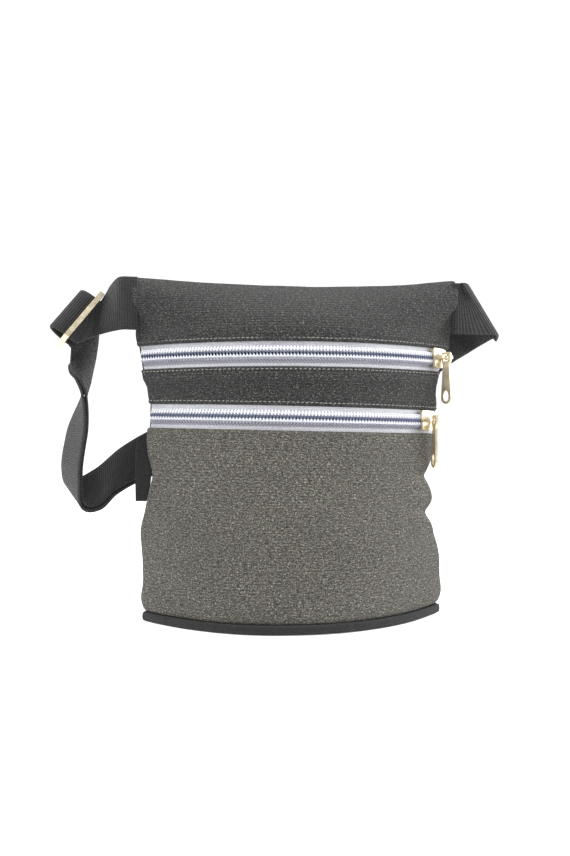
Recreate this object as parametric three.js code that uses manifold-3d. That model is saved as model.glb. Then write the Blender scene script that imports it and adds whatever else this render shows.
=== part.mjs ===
// A small soft shoulder bag that stands on its base, in millimetres, +Z up.
// The front faces -Y. The origin is under the middle of the base, on the ground.
// The front is one curved cloth surface cut by two zips. Both zips lie on arcs of
// ZIP_RADIUS, so each slider can run along its own arc about a far upright axis.
import * as THREE from 'three';
import { mergeVertices } from 'three/addons/utils/BufferGeometryUtils.js';
import Module from 'manifold-3d';

const wasm = await Module();
wasm.setup();

// The body of the bag
const BAG_HEIGHT = 160;
const HALF_WIDTH = 80;
const CLOTH = 1.2;
const CLOTH_GAP = 0.4;
const FIT_GAP = 0.3;
const SEAM_HEIGHT = 4.5;
const TOP_SAG = 3.5;
const TOP_SET_BACK = 8;
const TOP_RADIUS = 2500;
const BACK_BULGE = 15;
const BASE_BULGE = 28;
const BASE_RADIUS = 95;
const BELLY_HEIGHT = 30;
const BELLY_BULGE = 28.5;
const BELLY_RADIUS = 104;
const FOOT_INSET = 1.8;
const DIVIDER_CLOTH = 0.8;
const DIVIDER_INSET = 10;
const DIVIDER_LIFT = 2.4;

// The zips
const ZIP_RADIUS = 115;
const TOP_CLOTH = 37.5;
const ZIP_SPACING = 28.8;
const UPPER_ZIP_HEIGHT = BAG_HEIGHT - TOP_CLOTH;
const UPPER_ZIP_BULGE = 21;
const LOWER_ZIP_HEIGHT = UPPER_ZIP_HEIGHT - ZIP_SPACING;
const LOWER_ZIP_BULGE = 21.7;
const BAND_HALF = 5.5;
const TAPE_HALF = 10;
const TAPE = 0.6;
const SLOT_HALF = 0.6;
const COIL_HALF = 2.9;
const COIL_HEIGHT = 1.9;
const TAPE_END = 0.9;

// The sliders and their pulls
const SLIDER_LENGTH = 10.5;
const SLIDER_WIDTH = 9.4;
const SLIDER_PLATE = 1;
const SLIDER_NOSE = 5.4;
const SLIDER_END_ROOM = 2.6;
const FLANGE = 1.2;
const WEDGE_LENGTH = 3;
const BRIDGE_RISE = 3.2;
const BRIDGE_BAR_RADIUS = 0.75;
const BRIDGE_SPAN = 7.4;
const BRIDGE_LEG = 1.1;
const PULL_LENGTH = 22.5;
const PULL = 1.2;
const PULL_EYE_WIDTH = 4.8;
const PULL_NECK_WIDTH = 3.6;
const PULL_END_WIDTH = 5.6;
const PULL_RIM = 1;
const PULL_PLAY = 0.5;
const PULL_EYE_LENGTH = 3.2;
const PULL_HOLE_WIDTH = 2.9;
const PULL_HOLE_LENGTH = 5.4;

// The webbing, the tri-glide that it threads and the ring behind the bag
const WEBBING_WIDTH = 25;
const WEBBING = 1.3;
const DOUBLED = 2.9;
const LAYER_PITCH = 1.9;
const SLOT_PLACE = 3.4;
const LOOP_RISE = 8;
const STRAP_DROP = 12.7;
const STRAP_HANG = 87.3;
const SHORT_LEAD = 9.6;
const FOLD_RADIUS = 3.2;
const WIRE_RADIUS = 1.2;
const GLIDE_HEIGHT = 16;
const RING_HEIGHT = 12;
const FRAME_PLAY = 0.5;
const STITCHED_END = 15;
const SHORT_STITCHED_END = 13;

// The side label
const LABEL = 1;
const LABEL_REACH = 4.8;
const LABEL_HEIGHT = 29.2;
const LABEL_DROP = 9.8;

// Angles
const upperZipLeanDegrees = 6;
const lowerZipLeanDegrees = 5;
const lowerZipRollDegrees = 1.2;
const lowerPullDegrees = -28;
const foldDegrees = 150;

// A slider's back plate against its front plate
const backPlateShare = 0.74;

// Fineness of the faceted surfaces
const acrossCount = 28;
const alongZipCount = 44;
const wrapCount = 8;
const roundCount = 10;
const WEBBING_STEP = 4;

// Each row is a height as a share of BAG_HEIGHT and a reach as a share of HALF_WIDTH.
const leftEdgeShares = [
  [0, 0.872], [0.03, 0.876], [0.115, 0.888], [0.22, 0.9], [0.26, 0.9], [0.345, 0.86], [0.42, 0.832],
  [0.49, 0.862], [0.58, 0.86], [0.64, 0.866], [0.725, 0.905], [0.78, 0.925], [0.84, 0.945], [1, 0.952],
];
const rightEdgeShares = [
  [0, 0.862], [0.07, 0.878], [0.145, 0.873], [0.205, 0.854], [0.265, 0.805], [0.31, 0.776], [0.36, 0.812],
  [0.42, 0.775], [0.475, 0.824], [0.525, 0.85], [0.625, 0.866], [0.7, 0.87], [0.775, 0.955], [0.825, 0.984],
  [0.94, 0.996], [1, 0.996],
];
// Each row is a height as a share of BAG_HEIGHT and a share of BACK_BULGE.
const backBulgeShares = [[0, 0.8], [0.25, 1], [0.6, 0.9], [0.85, 0.45], [1, 0.12]];

const radians = THREE.MathUtils.degToRad;
const vec = (x, y, z) => new THREE.Vector3(x, y, z);

// A smooth curve through [place, value] rows, by cubic steps with averaged slopes.
function hermite(x0, v0, s0, x1, v1, s1, x) {
  const t = (x - x0) / (x1 - x0);
  const u = 1 - t;
  const span = x1 - x0;
  return u * u * (1 + 2 * t) * v0 + t * t * (3 - 2 * t) * v1 + span * t * u * (u * s0 - t * s1);
}

function through(rows, x) {
  const last = rows.length - 1;
  if (x <= rows[0][0]) return rows[0][1];
  if (x >= rows[last][0]) return rows[last][1];
  const slope = (i) => {
    const a = rows[Math.max(i - 1, 0)];
    const b = rows[Math.min(i + 1, last)];
    return (b[1] - a[1]) / (b[0] - a[0]);
  };
  const i = rows.findIndex((row) => row[0] > x) - 1;
  return hermite(rows[i][0], rows[i][1], slope(i), rows[i + 1][0], rows[i + 1][1], slope(i + 1), x);
}

const reach = (shares, z) => HALF_WIDTH * through(shares, z / BAG_HEIGHT);

// The two zips
function makeZip(name, height, bulge, leanDegrees, rollDegrees) {
  const lean = radians(leanDegrees);
  return { name, height, bulge, lean, roll: radians(rollDegrees), axisY: ZIP_RADIUS - bulge };
}
const upperZip = makeZip('upper', UPPER_ZIP_HEIGHT, UPPER_ZIP_BULGE, upperZipLeanDegrees, 0);
const lowerZip = makeZip('lower', LOWER_ZIP_HEIGHT, LOWER_ZIP_BULGE, lowerZipLeanDegrees,
  lowerZipRollDegrees);
const ZONE_HALF = TAPE_HALF + FIT_GAP;

// The plan arc of the front at a height: how far it bulges ahead of y = 0, and its radius.
// Beside a zip the front is an exact cone about the zip's axis.
function coneAt(zip, z) {
  const rise = Math.tan(zip.lean) * (z - zip.height);
  return { bulge: zip.bulge - rise, radius: ZIP_RADIUS - rise };
}

function coneKnot(zip, side) {
  const z = zip.height + side * ZONE_HALF;
  const { bulge, radius } = coneAt(zip, z);
  const fall = Math.tan(zip.lean);
  return { z, bulge, bulgeSlope: -fall, bend: 1 / radius, bendSlope: fall / radius / radius };
}

const profileKnots = [
  { z: 0, bulge: BASE_BULGE, bulgeSlope: 0, bend: 1 / BASE_RADIUS, bendSlope: 0 },
  { z: BELLY_HEIGHT, bulge: BELLY_BULGE, bulgeSlope: 0, bend: 1 / BELLY_RADIUS, bendSlope: 0 },
  coneKnot(lowerZip, -1),
  coneKnot(lowerZip, 1),
  coneKnot(upperZip, -1),
  coneKnot(upperZip, 1),
  { z: BAG_HEIGHT, bulge: -TOP_SET_BACK, bulgeSlope: -1.8, bend: 1 / TOP_RADIUS, bendSlope: 0 },
];

function frontAt(z) {
  for (const zip of [lowerZip, upperZip]) {
    if (Math.abs(z - zip.height) <= ZONE_HALF) return coneAt(zip, z);
  }
  const above = profileKnots.findIndex((knot) => knot.z > z);
  const i = (above < 0 ? profileKnots.length - 1 : above) - 1;
  const a = profileKnots[i];
  const b = profileKnots[i + 1];
  const at = Math.min(Math.max(z, a.z), b.z);
  const bulge = hermite(a.z, a.bulge, a.bulgeSlope, b.z, b.bulge, b.bulgeSlope, at);
  const bend = hermite(a.z, a.bend, a.bendSlope, b.z, b.bend, b.bendSlope, at);
  return { bulge, radius: 1 / bend };
}

// A point of the front at a height: a share of the way from the left seam to the right
// one, and a depth behind the outer face.
function frontPoint(share, z, depth) {
  const { bulge, radius } = frontAt(z);
  const left = -Math.asin(reach(leftEdgeShares, z) / radius);
  const right = Math.asin(reach(rightEdgeShares, z) / radius);
  const angle = left + (right - left) * share;
  const r = radius - depth;
  return vec(r * Math.sin(angle), radius - bulge - r * Math.cos(angle), z);
}

// A point of the back, whose inner face starts one cloth gap behind the front's edge.
function backPoint(share, z, depth) {
  const left = frontPoint(0, z, CLOTH);
  const right = frontPoint(1, z, CLOTH);
  const bulge = BACK_BULGE * through(backBulgeShares, z / BAG_HEIGHT);
  const p = left.lerp(right, share);
  p.y += CLOTH_GAP + bulge * (1 - Math.abs(2 * share - 1) ** 3) + CLOTH - depth;
  return p;
}

// The top edge sags between its corners, and the lower zip lies a little lower on the
// right. Both are turned into every cloth point in the same way.
const ROLL_START = BELLY_HEIGHT;
const ROLL_FULL = lowerZip.height - ZONE_HALF;
const ROLL_LAST = lowerZip.height + ZONE_HALF;
const ROLL_END = upperZip.height - ZONE_HALF;
const SAG_START = upperZip.height + ZONE_HALF;

function settled(p) {
  const up = THREE.MathUtils.smoothstep(p.z, ROLL_START, ROLL_FULL);
  const down = THREE.MathUtils.smoothstep(p.z, ROLL_LAST, ROLL_END);
  const roll = lowerZip.roll * (up - down);
  const above = p.z - lowerZip.height;
  const q = vec(p.x * Math.cos(roll) + above * Math.sin(roll), p.y, p.z);
  q.z = lowerZip.height + above * Math.cos(roll) - p.x * Math.sin(roll);
  if (p.z > SAG_START) {
    const share = (p.z - SAG_START) / (BAG_HEIGHT - SAG_START);
    q.z -= TOP_SAG * share * share * Math.max(0, 1 - (p.x / HALF_WIDTH) ** 2);
  }
  return q;
}

// A point beside a zip: an angle along the arc, a distance up the cone from the middle
// of the coil, and a height above the cloth's outer face.
function zipPoint(zip, angle, up, out) {
  const r = ZIP_RADIUS + out * Math.cos(zip.lean) - up * Math.sin(zip.lean);
  const rise = up * Math.cos(zip.lean) + out * Math.sin(zip.lean);
  const x = r * Math.sin(angle);
  return vec(
    x * Math.cos(zip.roll) + rise * Math.sin(zip.roll),
    zip.axisY - r * Math.cos(angle),
    zip.height + rise * Math.cos(zip.roll) - x * Math.sin(zip.roll),
  );
}

// The angle from the middle of the front to a place one room short of a side seam
function angleToEdge(shares, z, room) {
  const { radius } = frontAt(z);
  return Math.asin(reach(shares, z) / radius) - room / radius;
}

// Closed bodies from points
function bodyOf(points, triangles) {
  let volume = 0;
  for (const [a, b, c] of triangles) {
    volume += points[a].dot(vec().crossVectors(points[b], points[c]));
  }
  const flip = volume < 0;
  const geometry = new THREE.BufferGeometry();
  geometry.setAttribute('position', new THREE.Float32BufferAttribute(points.flatMap((p) => p.toArray()), 3));
  geometry.setIndex(triangles.flatMap(([a, b, c]) => (flip ? [a, c, b] : [a, b, c])));
  return geometry;
}

function quad(triangles, a, b, c, d) {
  triangles.push([a, b, c], [a, c, d]);
}

// A sheet with a front and a back grid of points, closed along its four edges.
function slab(outer, inner) {
  const rows = outer.length;
  const columns = outer[0].length;
  const points = [...outer.flat(), ...inner.flat()];
  const triangles = [];
  const front = (j, i) => j * columns + i;
  const back = (j, i) => rows * columns + j * columns + i;
  for (let j = 0; j < rows - 1; j += 1) {
    for (let i = 0; i < columns - 1; i += 1) {
      quad(triangles, front(j, i), front(j, i + 1), front(j + 1, i + 1), front(j + 1, i));
      quad(triangles, back(j, i), back(j + 1, i), back(j + 1, i + 1), back(j, i + 1));
    }
    quad(triangles, front(j, 0), front(j + 1, 0), back(j + 1, 0), back(j, 0));
    const end = columns - 1;
    quad(triangles, front(j, end), back(j, end), back(j + 1, end), front(j + 1, end));
  }
  for (let i = 0; i < columns - 1; i += 1) {
    const top = rows - 1;
    quad(triangles, front(0, i), back(0, i), back(0, i + 1), front(0, i + 1));
    quad(triangles, front(top, i), front(top, i + 1), back(top, i + 1), back(top, i));
  }
  return bodyOf(points, triangles);
}

// A run of equal sections, each a convex ring of points, closed at both ends.
function sweep(sections) {
  const sides = sections[0].length;
  const points = sections.flat();
  const triangles = [];
  for (let j = 0; j < sections.length - 1; j += 1) {
    for (let i = 0; i < sides; i += 1) {
      const next = (i + 1) % sides;
      quad(triangles, j * sides + i, j * sides + next, (j + 1) * sides + next, (j + 1) * sides + i);
    }
  }
  const last = (sections.length - 1) * sides;
  for (let i = 1; i < sides - 1; i += 1) {
    triangles.push([0, i + 1, i], [last, last + i, last + i + 1]);
  }
  return bodyOf(points, triangles);
}

function solidOf(geometry) {
  const bare = geometry.clone();
  bare.deleteAttribute('normal');
  bare.deleteAttribute('uv');
  const merged = mergeVertices(bare);
  const vertProperties = new Float32Array(merged.attributes.position.array);
  const triVerts = new Uint32Array(merged.index.array);
  return new wasm.Manifold(new wasm.Mesh({ numProp: 3, vertProperties, triVerts }));
}

function geometryOf(solid) {
  const mesh = solid.getMesh();
  const geometry = new THREE.BufferGeometry();
  geometry.setAttribute('position', new THREE.BufferAttribute(new Float32Array(mesh.vertProperties), 3));
  geometry.setIndex(new THREE.BufferAttribute(new Uint32Array(mesh.triVerts), 1));
  return geometry;
}

const joined = (geometries) => geometryOf(geometries.map(solidOf).reduce((a, b) => a.add(b)));

// Finishes
const finish = (color, roughness, metalness) => ({ color, roughness, metalness });
const CHARCOAL = finish(0x4b4d4d, 0.95, 0);
const TAUPE = finish(0x75726a, 0.95, 0);
const BLACK_CLOTH = finish(0x2c2d2e, 0.95, 0);
const LILAC_TAPE = finish(0xb9b9c8, 0.9, 0);
const WHITE_COIL = finish(0xe4e6f2, 0.5, 0);
const BLACK_WEBBING = finish(0x2b2b2c, 0.8, 0);
const NICKEL = finish(0xcfc7b0, 0.3, 1);
const LABEL_CLOTH = finish(0x1f1f20, 0.8, 0);

const bag = new THREE.Group();

function piece(name, geometry, look) {
  const mesh = new THREE.Mesh(geometry, new THREE.MeshStandardMaterial(look));
  mesh.name = name;
  bag.add(mesh);
  return mesh;
}

// The cloth panels
function rowsBetween(low, high, count) {
  return Array.from({ length: count + 1 }, (_, j) => low + ((high - low) * j) / count);
}

function clothGrid(surface, heights, depth) {
  const shares = rowsBetween(0, 1, acrossCount);
  return heights.map((z) => shares.map((share) => settled(surface(share, z, depth))));
}

const clothPanel = (surface, heights) => (
  slab(clothGrid(surface, heights, 0), clothGrid(surface, heights, CLOTH))
);

const bandTop = (zip) => zip.height + BAND_HALF * Math.cos(zip.lean);
const bandBottom = (zip) => zip.height - BAND_HALF * Math.cos(zip.lean);

const lowerHeights = rowsBetween(SEAM_HEIGHT, bandBottom(lowerZip), 14);
const middleHeights = rowsBetween(bandTop(lowerZip), bandBottom(upperZip), 6);
const topHeights = rowsBetween(bandTop(upperZip), BAG_HEIGHT, 8);
piece('top_front_panel', clothPanel(frontPoint, topHeights), CHARCOAL);
piece('middle_front_band', clothPanel(frontPoint, middleHeights), CHARCOAL);
piece('lower_front_panel', clothPanel(frontPoint, lowerHeights), TAUPE);
piece('back_panel', clothPanel(backPoint, [...lowerHeights, ...middleHeights, ...topHeights]), BLACK_CLOTH);

// The base, a shallow cloth tray that turns under to a flat foot
function basePanel() {
  const shares = rowsBetween(0, 1, acrossCount);
  const rim = [
    ...shares.map((share) => frontPoint(share, SEAM_HEIGHT, 0)),
    ...shares.map((share) => backPoint(1 - share, SEAM_HEIGHT, 0)),
  ];
  const middle = vec(0, (rim[acrossCount / 2].y + backPoint(0.5, SEAM_HEIGHT, 0).y) / 2, 0);
  const ring = (inset, z) => rim.map((p) => {
    const out = vec(p.x - middle.x, p.y - middle.y, 0);
    const length = out.length();
    return vec(middle.x, middle.y, z).addScaledVector(out, 1 - inset / length);
  });
  const rise = SEAM_HEIGHT - CLOTH_GAP;
  const outer = [[0, rise], [FOOT_INSET / 8, rise / 2], [FOOT_INSET / 2, rise / 8], [FOOT_INSET, 0]];
  const inner = [[FOOT_INSET + CLOTH, CLOTH], [FOOT_INSET / 4 + CLOTH, CLOTH + rise / 6], [CLOTH, rise]];
  const rings = [...outer, ...inner].map(([inset, z]) => ring(inset, z));
  const count = rim.length;
  const points = rings.flat();
  const triangles = [];
  for (let j = 0; j < rings.length; j += 1) {
    if (j === outer.length - 1) continue;
    const here = j * count;
    const there = ((j + 1) % rings.length) * count;
    for (let i = 0; i < count; i += 1) {
      const next = (i + 1) % count;
      quad(triangles, here + i, here + next, there + next, there + i);
    }
  }
  const foot = points.push(vec(middle.x, middle.y, 0)) - 1;
  const floor = points.push(vec(middle.x, middle.y, CLOTH)) - 1;
  for (let i = 0; i < count; i += 1) {
    const next = (i + 1) % count;
    triangles.push([(outer.length - 1) * count + i, (outer.length - 1) * count + next, foot]);
    triangles.push([outer.length * count + next, outer.length * count + i, floor]);
  }
  return bodyOf(points, triangles);
}
piece('base_panel', basePanel(), BLACK_CLOTH);

// The cloth wall between the front pocket and the main room stands nearly half of the way
// back, and its top edge is sewn behind the band between the zips.
const dividerDepthShare = 0.45;
const DIVIDER_BEND = lowerZip.height + BAND_HALF;
const DIVIDER_TOP = bandBottom(upperZip) - TAPE_HALF + BAND_HALF - DIVIDER_LIFT;
function dividerPoint(share, z, side) {
  const left = frontPoint(0, z, CLOTH);
  const right = frontPoint(1, z, CLOTH);
  const x = THREE.MathUtils.lerp(left.x + DIVIDER_INSET, right.x - DIVIDER_INSET, share);
  const { bulge, radius } = frontAt(z);
  const sewn = CLOTH_GAP + DIVIDER_CLOTH / 2;
  const front = radius - bulge - Math.sqrt((radius - CLOTH) ** 2 - x * x) + sewn;
  const back = backPoint((x - left.x) / (right.x - left.x), z, CLOTH).y;
  const depthShare = dividerDepthShare * (1 - THREE.MathUtils.smoothstep(z, DIVIDER_BEND, DIVIDER_TOP));
  return vec(x, front + (back - front) * depthShare + side * DIVIDER_CLOTH / 2, z);
}
const dividerHeights = rowsBetween(DIVIDER_LIFT + SEAM_HEIGHT, DIVIDER_TOP, 16);
const dividerFace = (side) => dividerHeights.map((z) => (
  rowsBetween(0, 1, acrossCount / 2).map((share) => settled(dividerPoint(share, z, side)))
));
piece('pocket_divider', slab(dividerFace(-1), dividerFace(1)), BLACK_CLOTH);

// The zip tapes lie one gap behind the cloth, and the coils stand on their outer faces.
const TAPE_OUT = -CLOTH - FIT_GAP;
const COIL_OUT = TAPE_OUT + FIT_GAP;
const coilShares = [[0, 0], [0.93, 0], [1, 0.35], [0.85, 0.82], [0.5, 1], [0.12, 0.92], [0, 0.6]];

function zipAngles(zip, up) {
  const z = zip.height + up * Math.cos(zip.lean);
  return rowsBetween(-angleToEdge(leftEdgeShares, z, TAPE_END), angleToEdge(rightEdgeShares, z, TAPE_END),
    alongZipCount);
}

function tape(zip, side) {
  const face = (out) => [SLOT_HALF, BAND_HALF, TAPE_HALF].map((up) => (
    zipAngles(zip, side * up).map((angle) => zipPoint(zip, angle, side * up, out))
  ));
  return slab(face(TAPE_OUT), face(TAPE_OUT - TAPE));
}

function coil(zip, side) {
  const width = COIL_HALF - SLOT_HALF;
  return sweep(zipAngles(zip, side * COIL_HALF / 2).map((angle) => coilShares.map(([across, up]) => (
    zipPoint(zip, angle, side * (SLOT_HALF + width * across), COIL_OUT + COIL_HEIGHT * up)
  ))));
}

for (const zip of [upperZip, lowerZip]) {
  for (const [label, side] of [['high', 1], ['low', -1]]) {
    piece(`${zip.name}_zip_tape_${label}`, tape(zip, side), LILAC_TAPE);
    piece(`${zip.name}_zip_coil_${label}`, coil(zip, side), WHITE_COIL);
  }
}

// A slider in its own frame: X along the zip, Y up the cone, Z out of the cloth.
const PLATE_LOW = COIL_OUT + COIL_HEIGHT + FIT_GAP;
const PLATE_HIGH = PLATE_LOW + SLIDER_PLATE;
const BACK_PLATE_HIGH = TAPE_OUT - TAPE - FIT_GAP;
const BACK_PLATE_LOW = BACK_PLATE_HIGH - SLIDER_PLATE;
const HINGE_OUT = PLATE_HIGH + BRIDGE_RISE;

function block(x0, x1, y0, y1, z0, z1) {
  const box = new THREE.BoxGeometry(x1 - x0, y1 - y0, z1 - z0);
  return box.translate((x0 + x1) / 2, (y0 + y1) / 2, (z0 + z1) / 2);
}

// The plan of a slider plate, square at the tail and drawn in at the nose
function platePlan() {
  const tail = SLIDER_LENGTH / 2;
  const half = SLIDER_WIDTH / 2;
  const nose = SLIDER_NOSE / 2;
  const plan = new THREE.Shape();
  plan.moveTo(-tail, -half + PULL_RIM);
  plan.quadraticCurveTo(-tail, -half, -tail + PULL_RIM, -half);
  plan.lineTo(0, -half);
  plan.quadraticCurveTo(tail - PULL_RIM, -half, tail, -nose);
  plan.lineTo(tail, nose);
  plan.quadraticCurveTo(tail - PULL_RIM, half, 0, half);
  plan.lineTo(-tail + PULL_RIM, half);
  plan.quadraticCurveTo(-tail, half, -tail, half - PULL_RIM);
  return plan;
}

function plateBetween(low, high, share) {
  const settings = { depth: high - low, bevelEnabled: false, curveSegments: 3 };
  return new THREE.ExtrudeGeometry(platePlan(), settings).scale(share, share, 1).translate(0, 0, low);
}

function sliderBody() {
  const wedge = SLOT_HALF - FIT_GAP;
  const side = SLIDER_WIDTH / 2;
  const flangeFoot = TAPE_OUT + FIT_GAP;
  const legs = BRIDGE_SPAN / 2;
  const parts = [
    plateBetween(PLATE_LOW, PLATE_HIGH, 1),
    plateBetween(BACK_PLATE_LOW, BACK_PLATE_HIGH, backPlateShare),
    block(-WEDGE_LENGTH / 2, WEDGE_LENGTH / 2, -wedge, wedge, BACK_PLATE_LOW / 2 + BACK_PLATE_HIGH / 2,
      PLATE_LOW / 2 + PLATE_HIGH / 2),
    new THREE.CylinderGeometry(BRIDGE_BAR_RADIUS, BRIDGE_BAR_RADIUS, BRIDGE_SPAN, roundCount)
      .rotateZ(Math.PI / 2).translate(0, 0, HINGE_OUT),
  ];
  for (const end of [-1, 1]) {
    parts.push(block(end * legs - BRIDGE_LEG / 2, end * legs + BRIDGE_LEG / 2, -BRIDGE_BAR_RADIUS,
      BRIDGE_BAR_RADIUS, PLATE_LOW / 2 + PLATE_HIGH / 2, HINGE_OUT + BRIDGE_BAR_RADIUS));
    const near = end * (side - FLANGE);
    const far = end * side;
    parts.push(block(-SLIDER_LENGTH / 2 + PULL_RIM, 0, Math.min(near, far), Math.max(near, far),
      flangeFoot, PLATE_LOW / 2 + PLATE_HIGH / 2));
  }
  return joined(parts);
}

// A pull in its own frame: X through the plate, Y down from the hinge, Z out of the cloth.
// Its eye goes round the bridge bar, and an oval hole is near its rounded end.
function pullPlate() {
  const eyeTop = -(BRIDGE_BAR_RADIUS + PULL_PLAY + PULL_RIM);
  const eyeHalf = PULL_EYE_WIDTH / 2;
  const neck = PULL_NECK_WIDTH / 2;
  const end = PULL_END_WIDTH / 2;
  const neckAt = eyeTop + PULL_EYE_LENGTH + 3 * PULL_RIM;
  const plan = new THREE.Shape();
  plan.moveTo(-eyeHalf + PULL_RIM / 2, eyeTop);
  plan.lineTo(eyeHalf - PULL_RIM / 2, eyeTop);
  plan.lineTo(eyeHalf, eyeTop + PULL_RIM / 2);
  plan.lineTo(eyeHalf, eyeTop + PULL_EYE_LENGTH + PULL_RIM);
  plan.lineTo(neck, neckAt);
  plan.lineTo(end, PULL_LENGTH - end);
  plan.absarc(0, PULL_LENGTH - end, end, 0, Math.PI, false);
  plan.lineTo(-neck, neckAt);
  plan.lineTo(-eyeHalf, eyeTop + PULL_EYE_LENGTH + PULL_RIM);
  plan.lineTo(-eyeHalf, eyeTop + PULL_RIM / 2);
  const eye = new THREE.Path();
  const eyeIn = eyeHalf - PULL_RIM;
  eye.moveTo(-eyeIn, eyeTop + PULL_RIM);
  eye.lineTo(-eyeIn, eyeTop + PULL_RIM + PULL_EYE_LENGTH);
  eye.lineTo(eyeIn, eyeTop + PULL_RIM + PULL_EYE_LENGTH);
  eye.lineTo(eyeIn, eyeTop + PULL_RIM);
  const hole = new THREE.Path();
  const holeHalf = PULL_HOLE_WIDTH / 2;
  const holeAt = PULL_LENGTH - PULL_RIM - PULL_HOLE_LENGTH / 2;
  hole.absellipse(0, holeAt, holeHalf, PULL_HOLE_LENGTH / 2, 0, 2 * Math.PI, true);
  plan.holes.push(eye, hole);
  const flat = new THREE.ExtrudeGeometry(plan, { depth: PULL, bevelEnabled: false, curveSegments: 8 });
  flat.translate(0, 0, -PULL / 2);
  // Plan x goes outward, plan y goes down, and the thickness goes along the zip.
  const turn = new THREE.Matrix4().makeBasis(vec(0, 0, 1), vec(0, -1, 0), vec(1, 0, 0));
  return flat.applyMatrix4(turn);
}

// Frames along a zip: X along it to the right, Y up, Z outward
function frameAt(zip, angle, lean) {
  const along = vec(Math.cos(angle), Math.sin(angle), 0);
  const out = vec(Math.sin(angle) * Math.cos(lean), -Math.cos(angle) * Math.cos(lean), Math.sin(lean));
  const up = vec().crossVectors(out, along);
  const tilt = new THREE.Matrix4().makeRotationY(zip.roll);
  return tilt.multiply(new THREE.Matrix4().makeBasis(along, up, out));
}

function placed(mesh, turn, at) {
  mesh.quaternion.setFromRotationMatrix(turn);
  mesh.position.copy(at);
}

const sliderRoom = SLIDER_LENGTH / 2 + SLIDER_END_ROOM;
for (const zip of [upperZip, lowerZip]) {
  const angle = angleToEdge(rightEdgeShares, zip.height, sliderRoom);
  const slider = piece(`${zip.name}_slider`, sliderBody(), NICKEL);
  placed(slider, frameAt(zip, angle, zip.lean), zipPoint(zip, angle, 0, 0));
  const pull = piece(`${zip.name}_pull`, pullPlate(), NICKEL);
  const hang = frameAt(zip, angle, 0);
  const turn = zip === lowerZip ? radians(lowerPullDegrees) : 0;
  placed(pull, hang.multiply(new THREE.Matrix4().makeRotationY(turn)), zipPoint(zip, angle, 0, HINGE_OUT));
}

// The side label, a folded tag caught in the left seam
function sideLabel() {
  const edge = (z) => -reach(leftEdgeShares, z) - CLOTH_GAP;
  const top = LOWER_ZIP_HEIGHT - LABEL_DROP;
  const rows = rowsBetween(top - LABEL_HEIGHT, top, 8);
  const tip = edge(top) - LABEL_REACH;
  const seamY = (z) => frontPoint(0, z, CLOTH).y + CLOTH_GAP / 2;
  return sweep(rows.map((z) => [
    vec(edge(z), seamY(z) - LABEL / 2, z), vec(tip, seamY(z) - LABEL / 2, z),
    vec(tip, seamY(z) + LABEL / 2, z), vec(edge(z), seamY(z) + LABEL / 2, z),
  ]));
}
piece('side_label', sideLabel(), LABEL_CLOTH);

// Webbing is swept from stations, each a middle point, the direction of its width and
// its thickness.
const standing = (at, width) => ({ at, width, thick: WEBBING });
const toward = (x, y, z) => vec(x, y, z).normalize();

// Stations closer together, on a smooth curve through the given ones
function refined(stations, step) {
  const path = new THREE.CatmullRomCurve3(stations.map((s) => s.at), false, 'centripetal');
  const widths = new THREE.CatmullRomCurve3(stations.map((s) => s.width), false, 'centripetal');
  const fine = [];
  for (let i = 0; i < stations.length - 1; i += 1) {
    const gap = stations[i].at.distanceTo(stations[i + 1].at);
    const count = Math.max(1, Math.round(gap / step));
    for (let k = 0; k < count; k += 1) {
      const t = (i + k / count) / (stations.length - 1);
      fine.push(standing(path.getPoint(t), widths.getPoint(t).normalize()));
    }
  }
  fine.push(stations[stations.length - 1]);
  return fine;
}

// The run at each station, and the direction out of the webbing's face. Where the
// webbing is folded on a slant its section is longer, by its slant.
function withNormals(stations) {
  return stations.map((s, i) => {
    const before = stations[Math.max(i - 1, 0)].at;
    const after = stations[Math.min(i + 1, stations.length - 1)].at;
    const run = vec().subVectors(after, before).normalize();
    const normal = vec().crossVectors(run, s.width);
    const slant = 1 / normal.length();
    return { ...s, normal: normal.normalize(), slant, run };
  });
}

function ribbon(stations, slanted) {
  return sweep(withNormals(stations).map(({ at, width, normal, slant, thick }) => {
    const side = (WEBBING_WIDTH / 2) * (slanted ? slant : 1);
    return [[-side, -thick / 2], [side, -thick / 2], [side, thick / 2], [-side, thick / 2]].map(([a, b]) => (
      at.clone().addScaledVector(width, a).addScaledVector(normal, b)
    ));
  }));
}

// A flat metal frame in its own axes: X along its bars, Y from bar to bar.
function barFrame(height, bars) {
  const half = WEBBING_WIDTH / 2 + FRAME_PLAY + 2 * WIRE_RADIUS;
  const side = height / 2;
  const corner = 2 * WIRE_RADIUS;
  const plan = new THREE.Shape();
  plan.moveTo(-half + corner, -side);
  plan.lineTo(half - corner, -side);
  plan.quadraticCurveTo(half, -side, half, -side + corner);
  plan.lineTo(half, side - corner);
  plan.quadraticCurveTo(half, side, half - corner, side);
  plan.lineTo(-half + corner, side);
  plan.quadraticCurveTo(-half, side, -half, side - corner);
  plan.lineTo(-half, -side + corner);
  plan.quadraticCurveTo(-half, -side, -half + corner, -side);
  const settings = { depth: 2 * WIRE_RADIUS, bevelEnabled: false, curveSegments: 4 };
  const plate = new THREE.ExtrudeGeometry(plan, settings).translate(0, 0, -WIRE_RADIUS);
  const inner = half - 2 * WIRE_RADIUS;
  const slots = bars === 3
    ? [[-side + 2 * WIRE_RADIUS, -WIRE_RADIUS], [WIRE_RADIUS, side - 2 * WIRE_RADIUS]]
    : [[-side + 2 * WIRE_RADIUS, side - 2 * WIRE_RADIUS]];
  return geometryOf(slots.reduce((solid, [low, high]) => (
    solid.subtract(solidOf(block(-inner, inner, low, high, -corner, corner)))
  ), solidOf(plate)));
}

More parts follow.
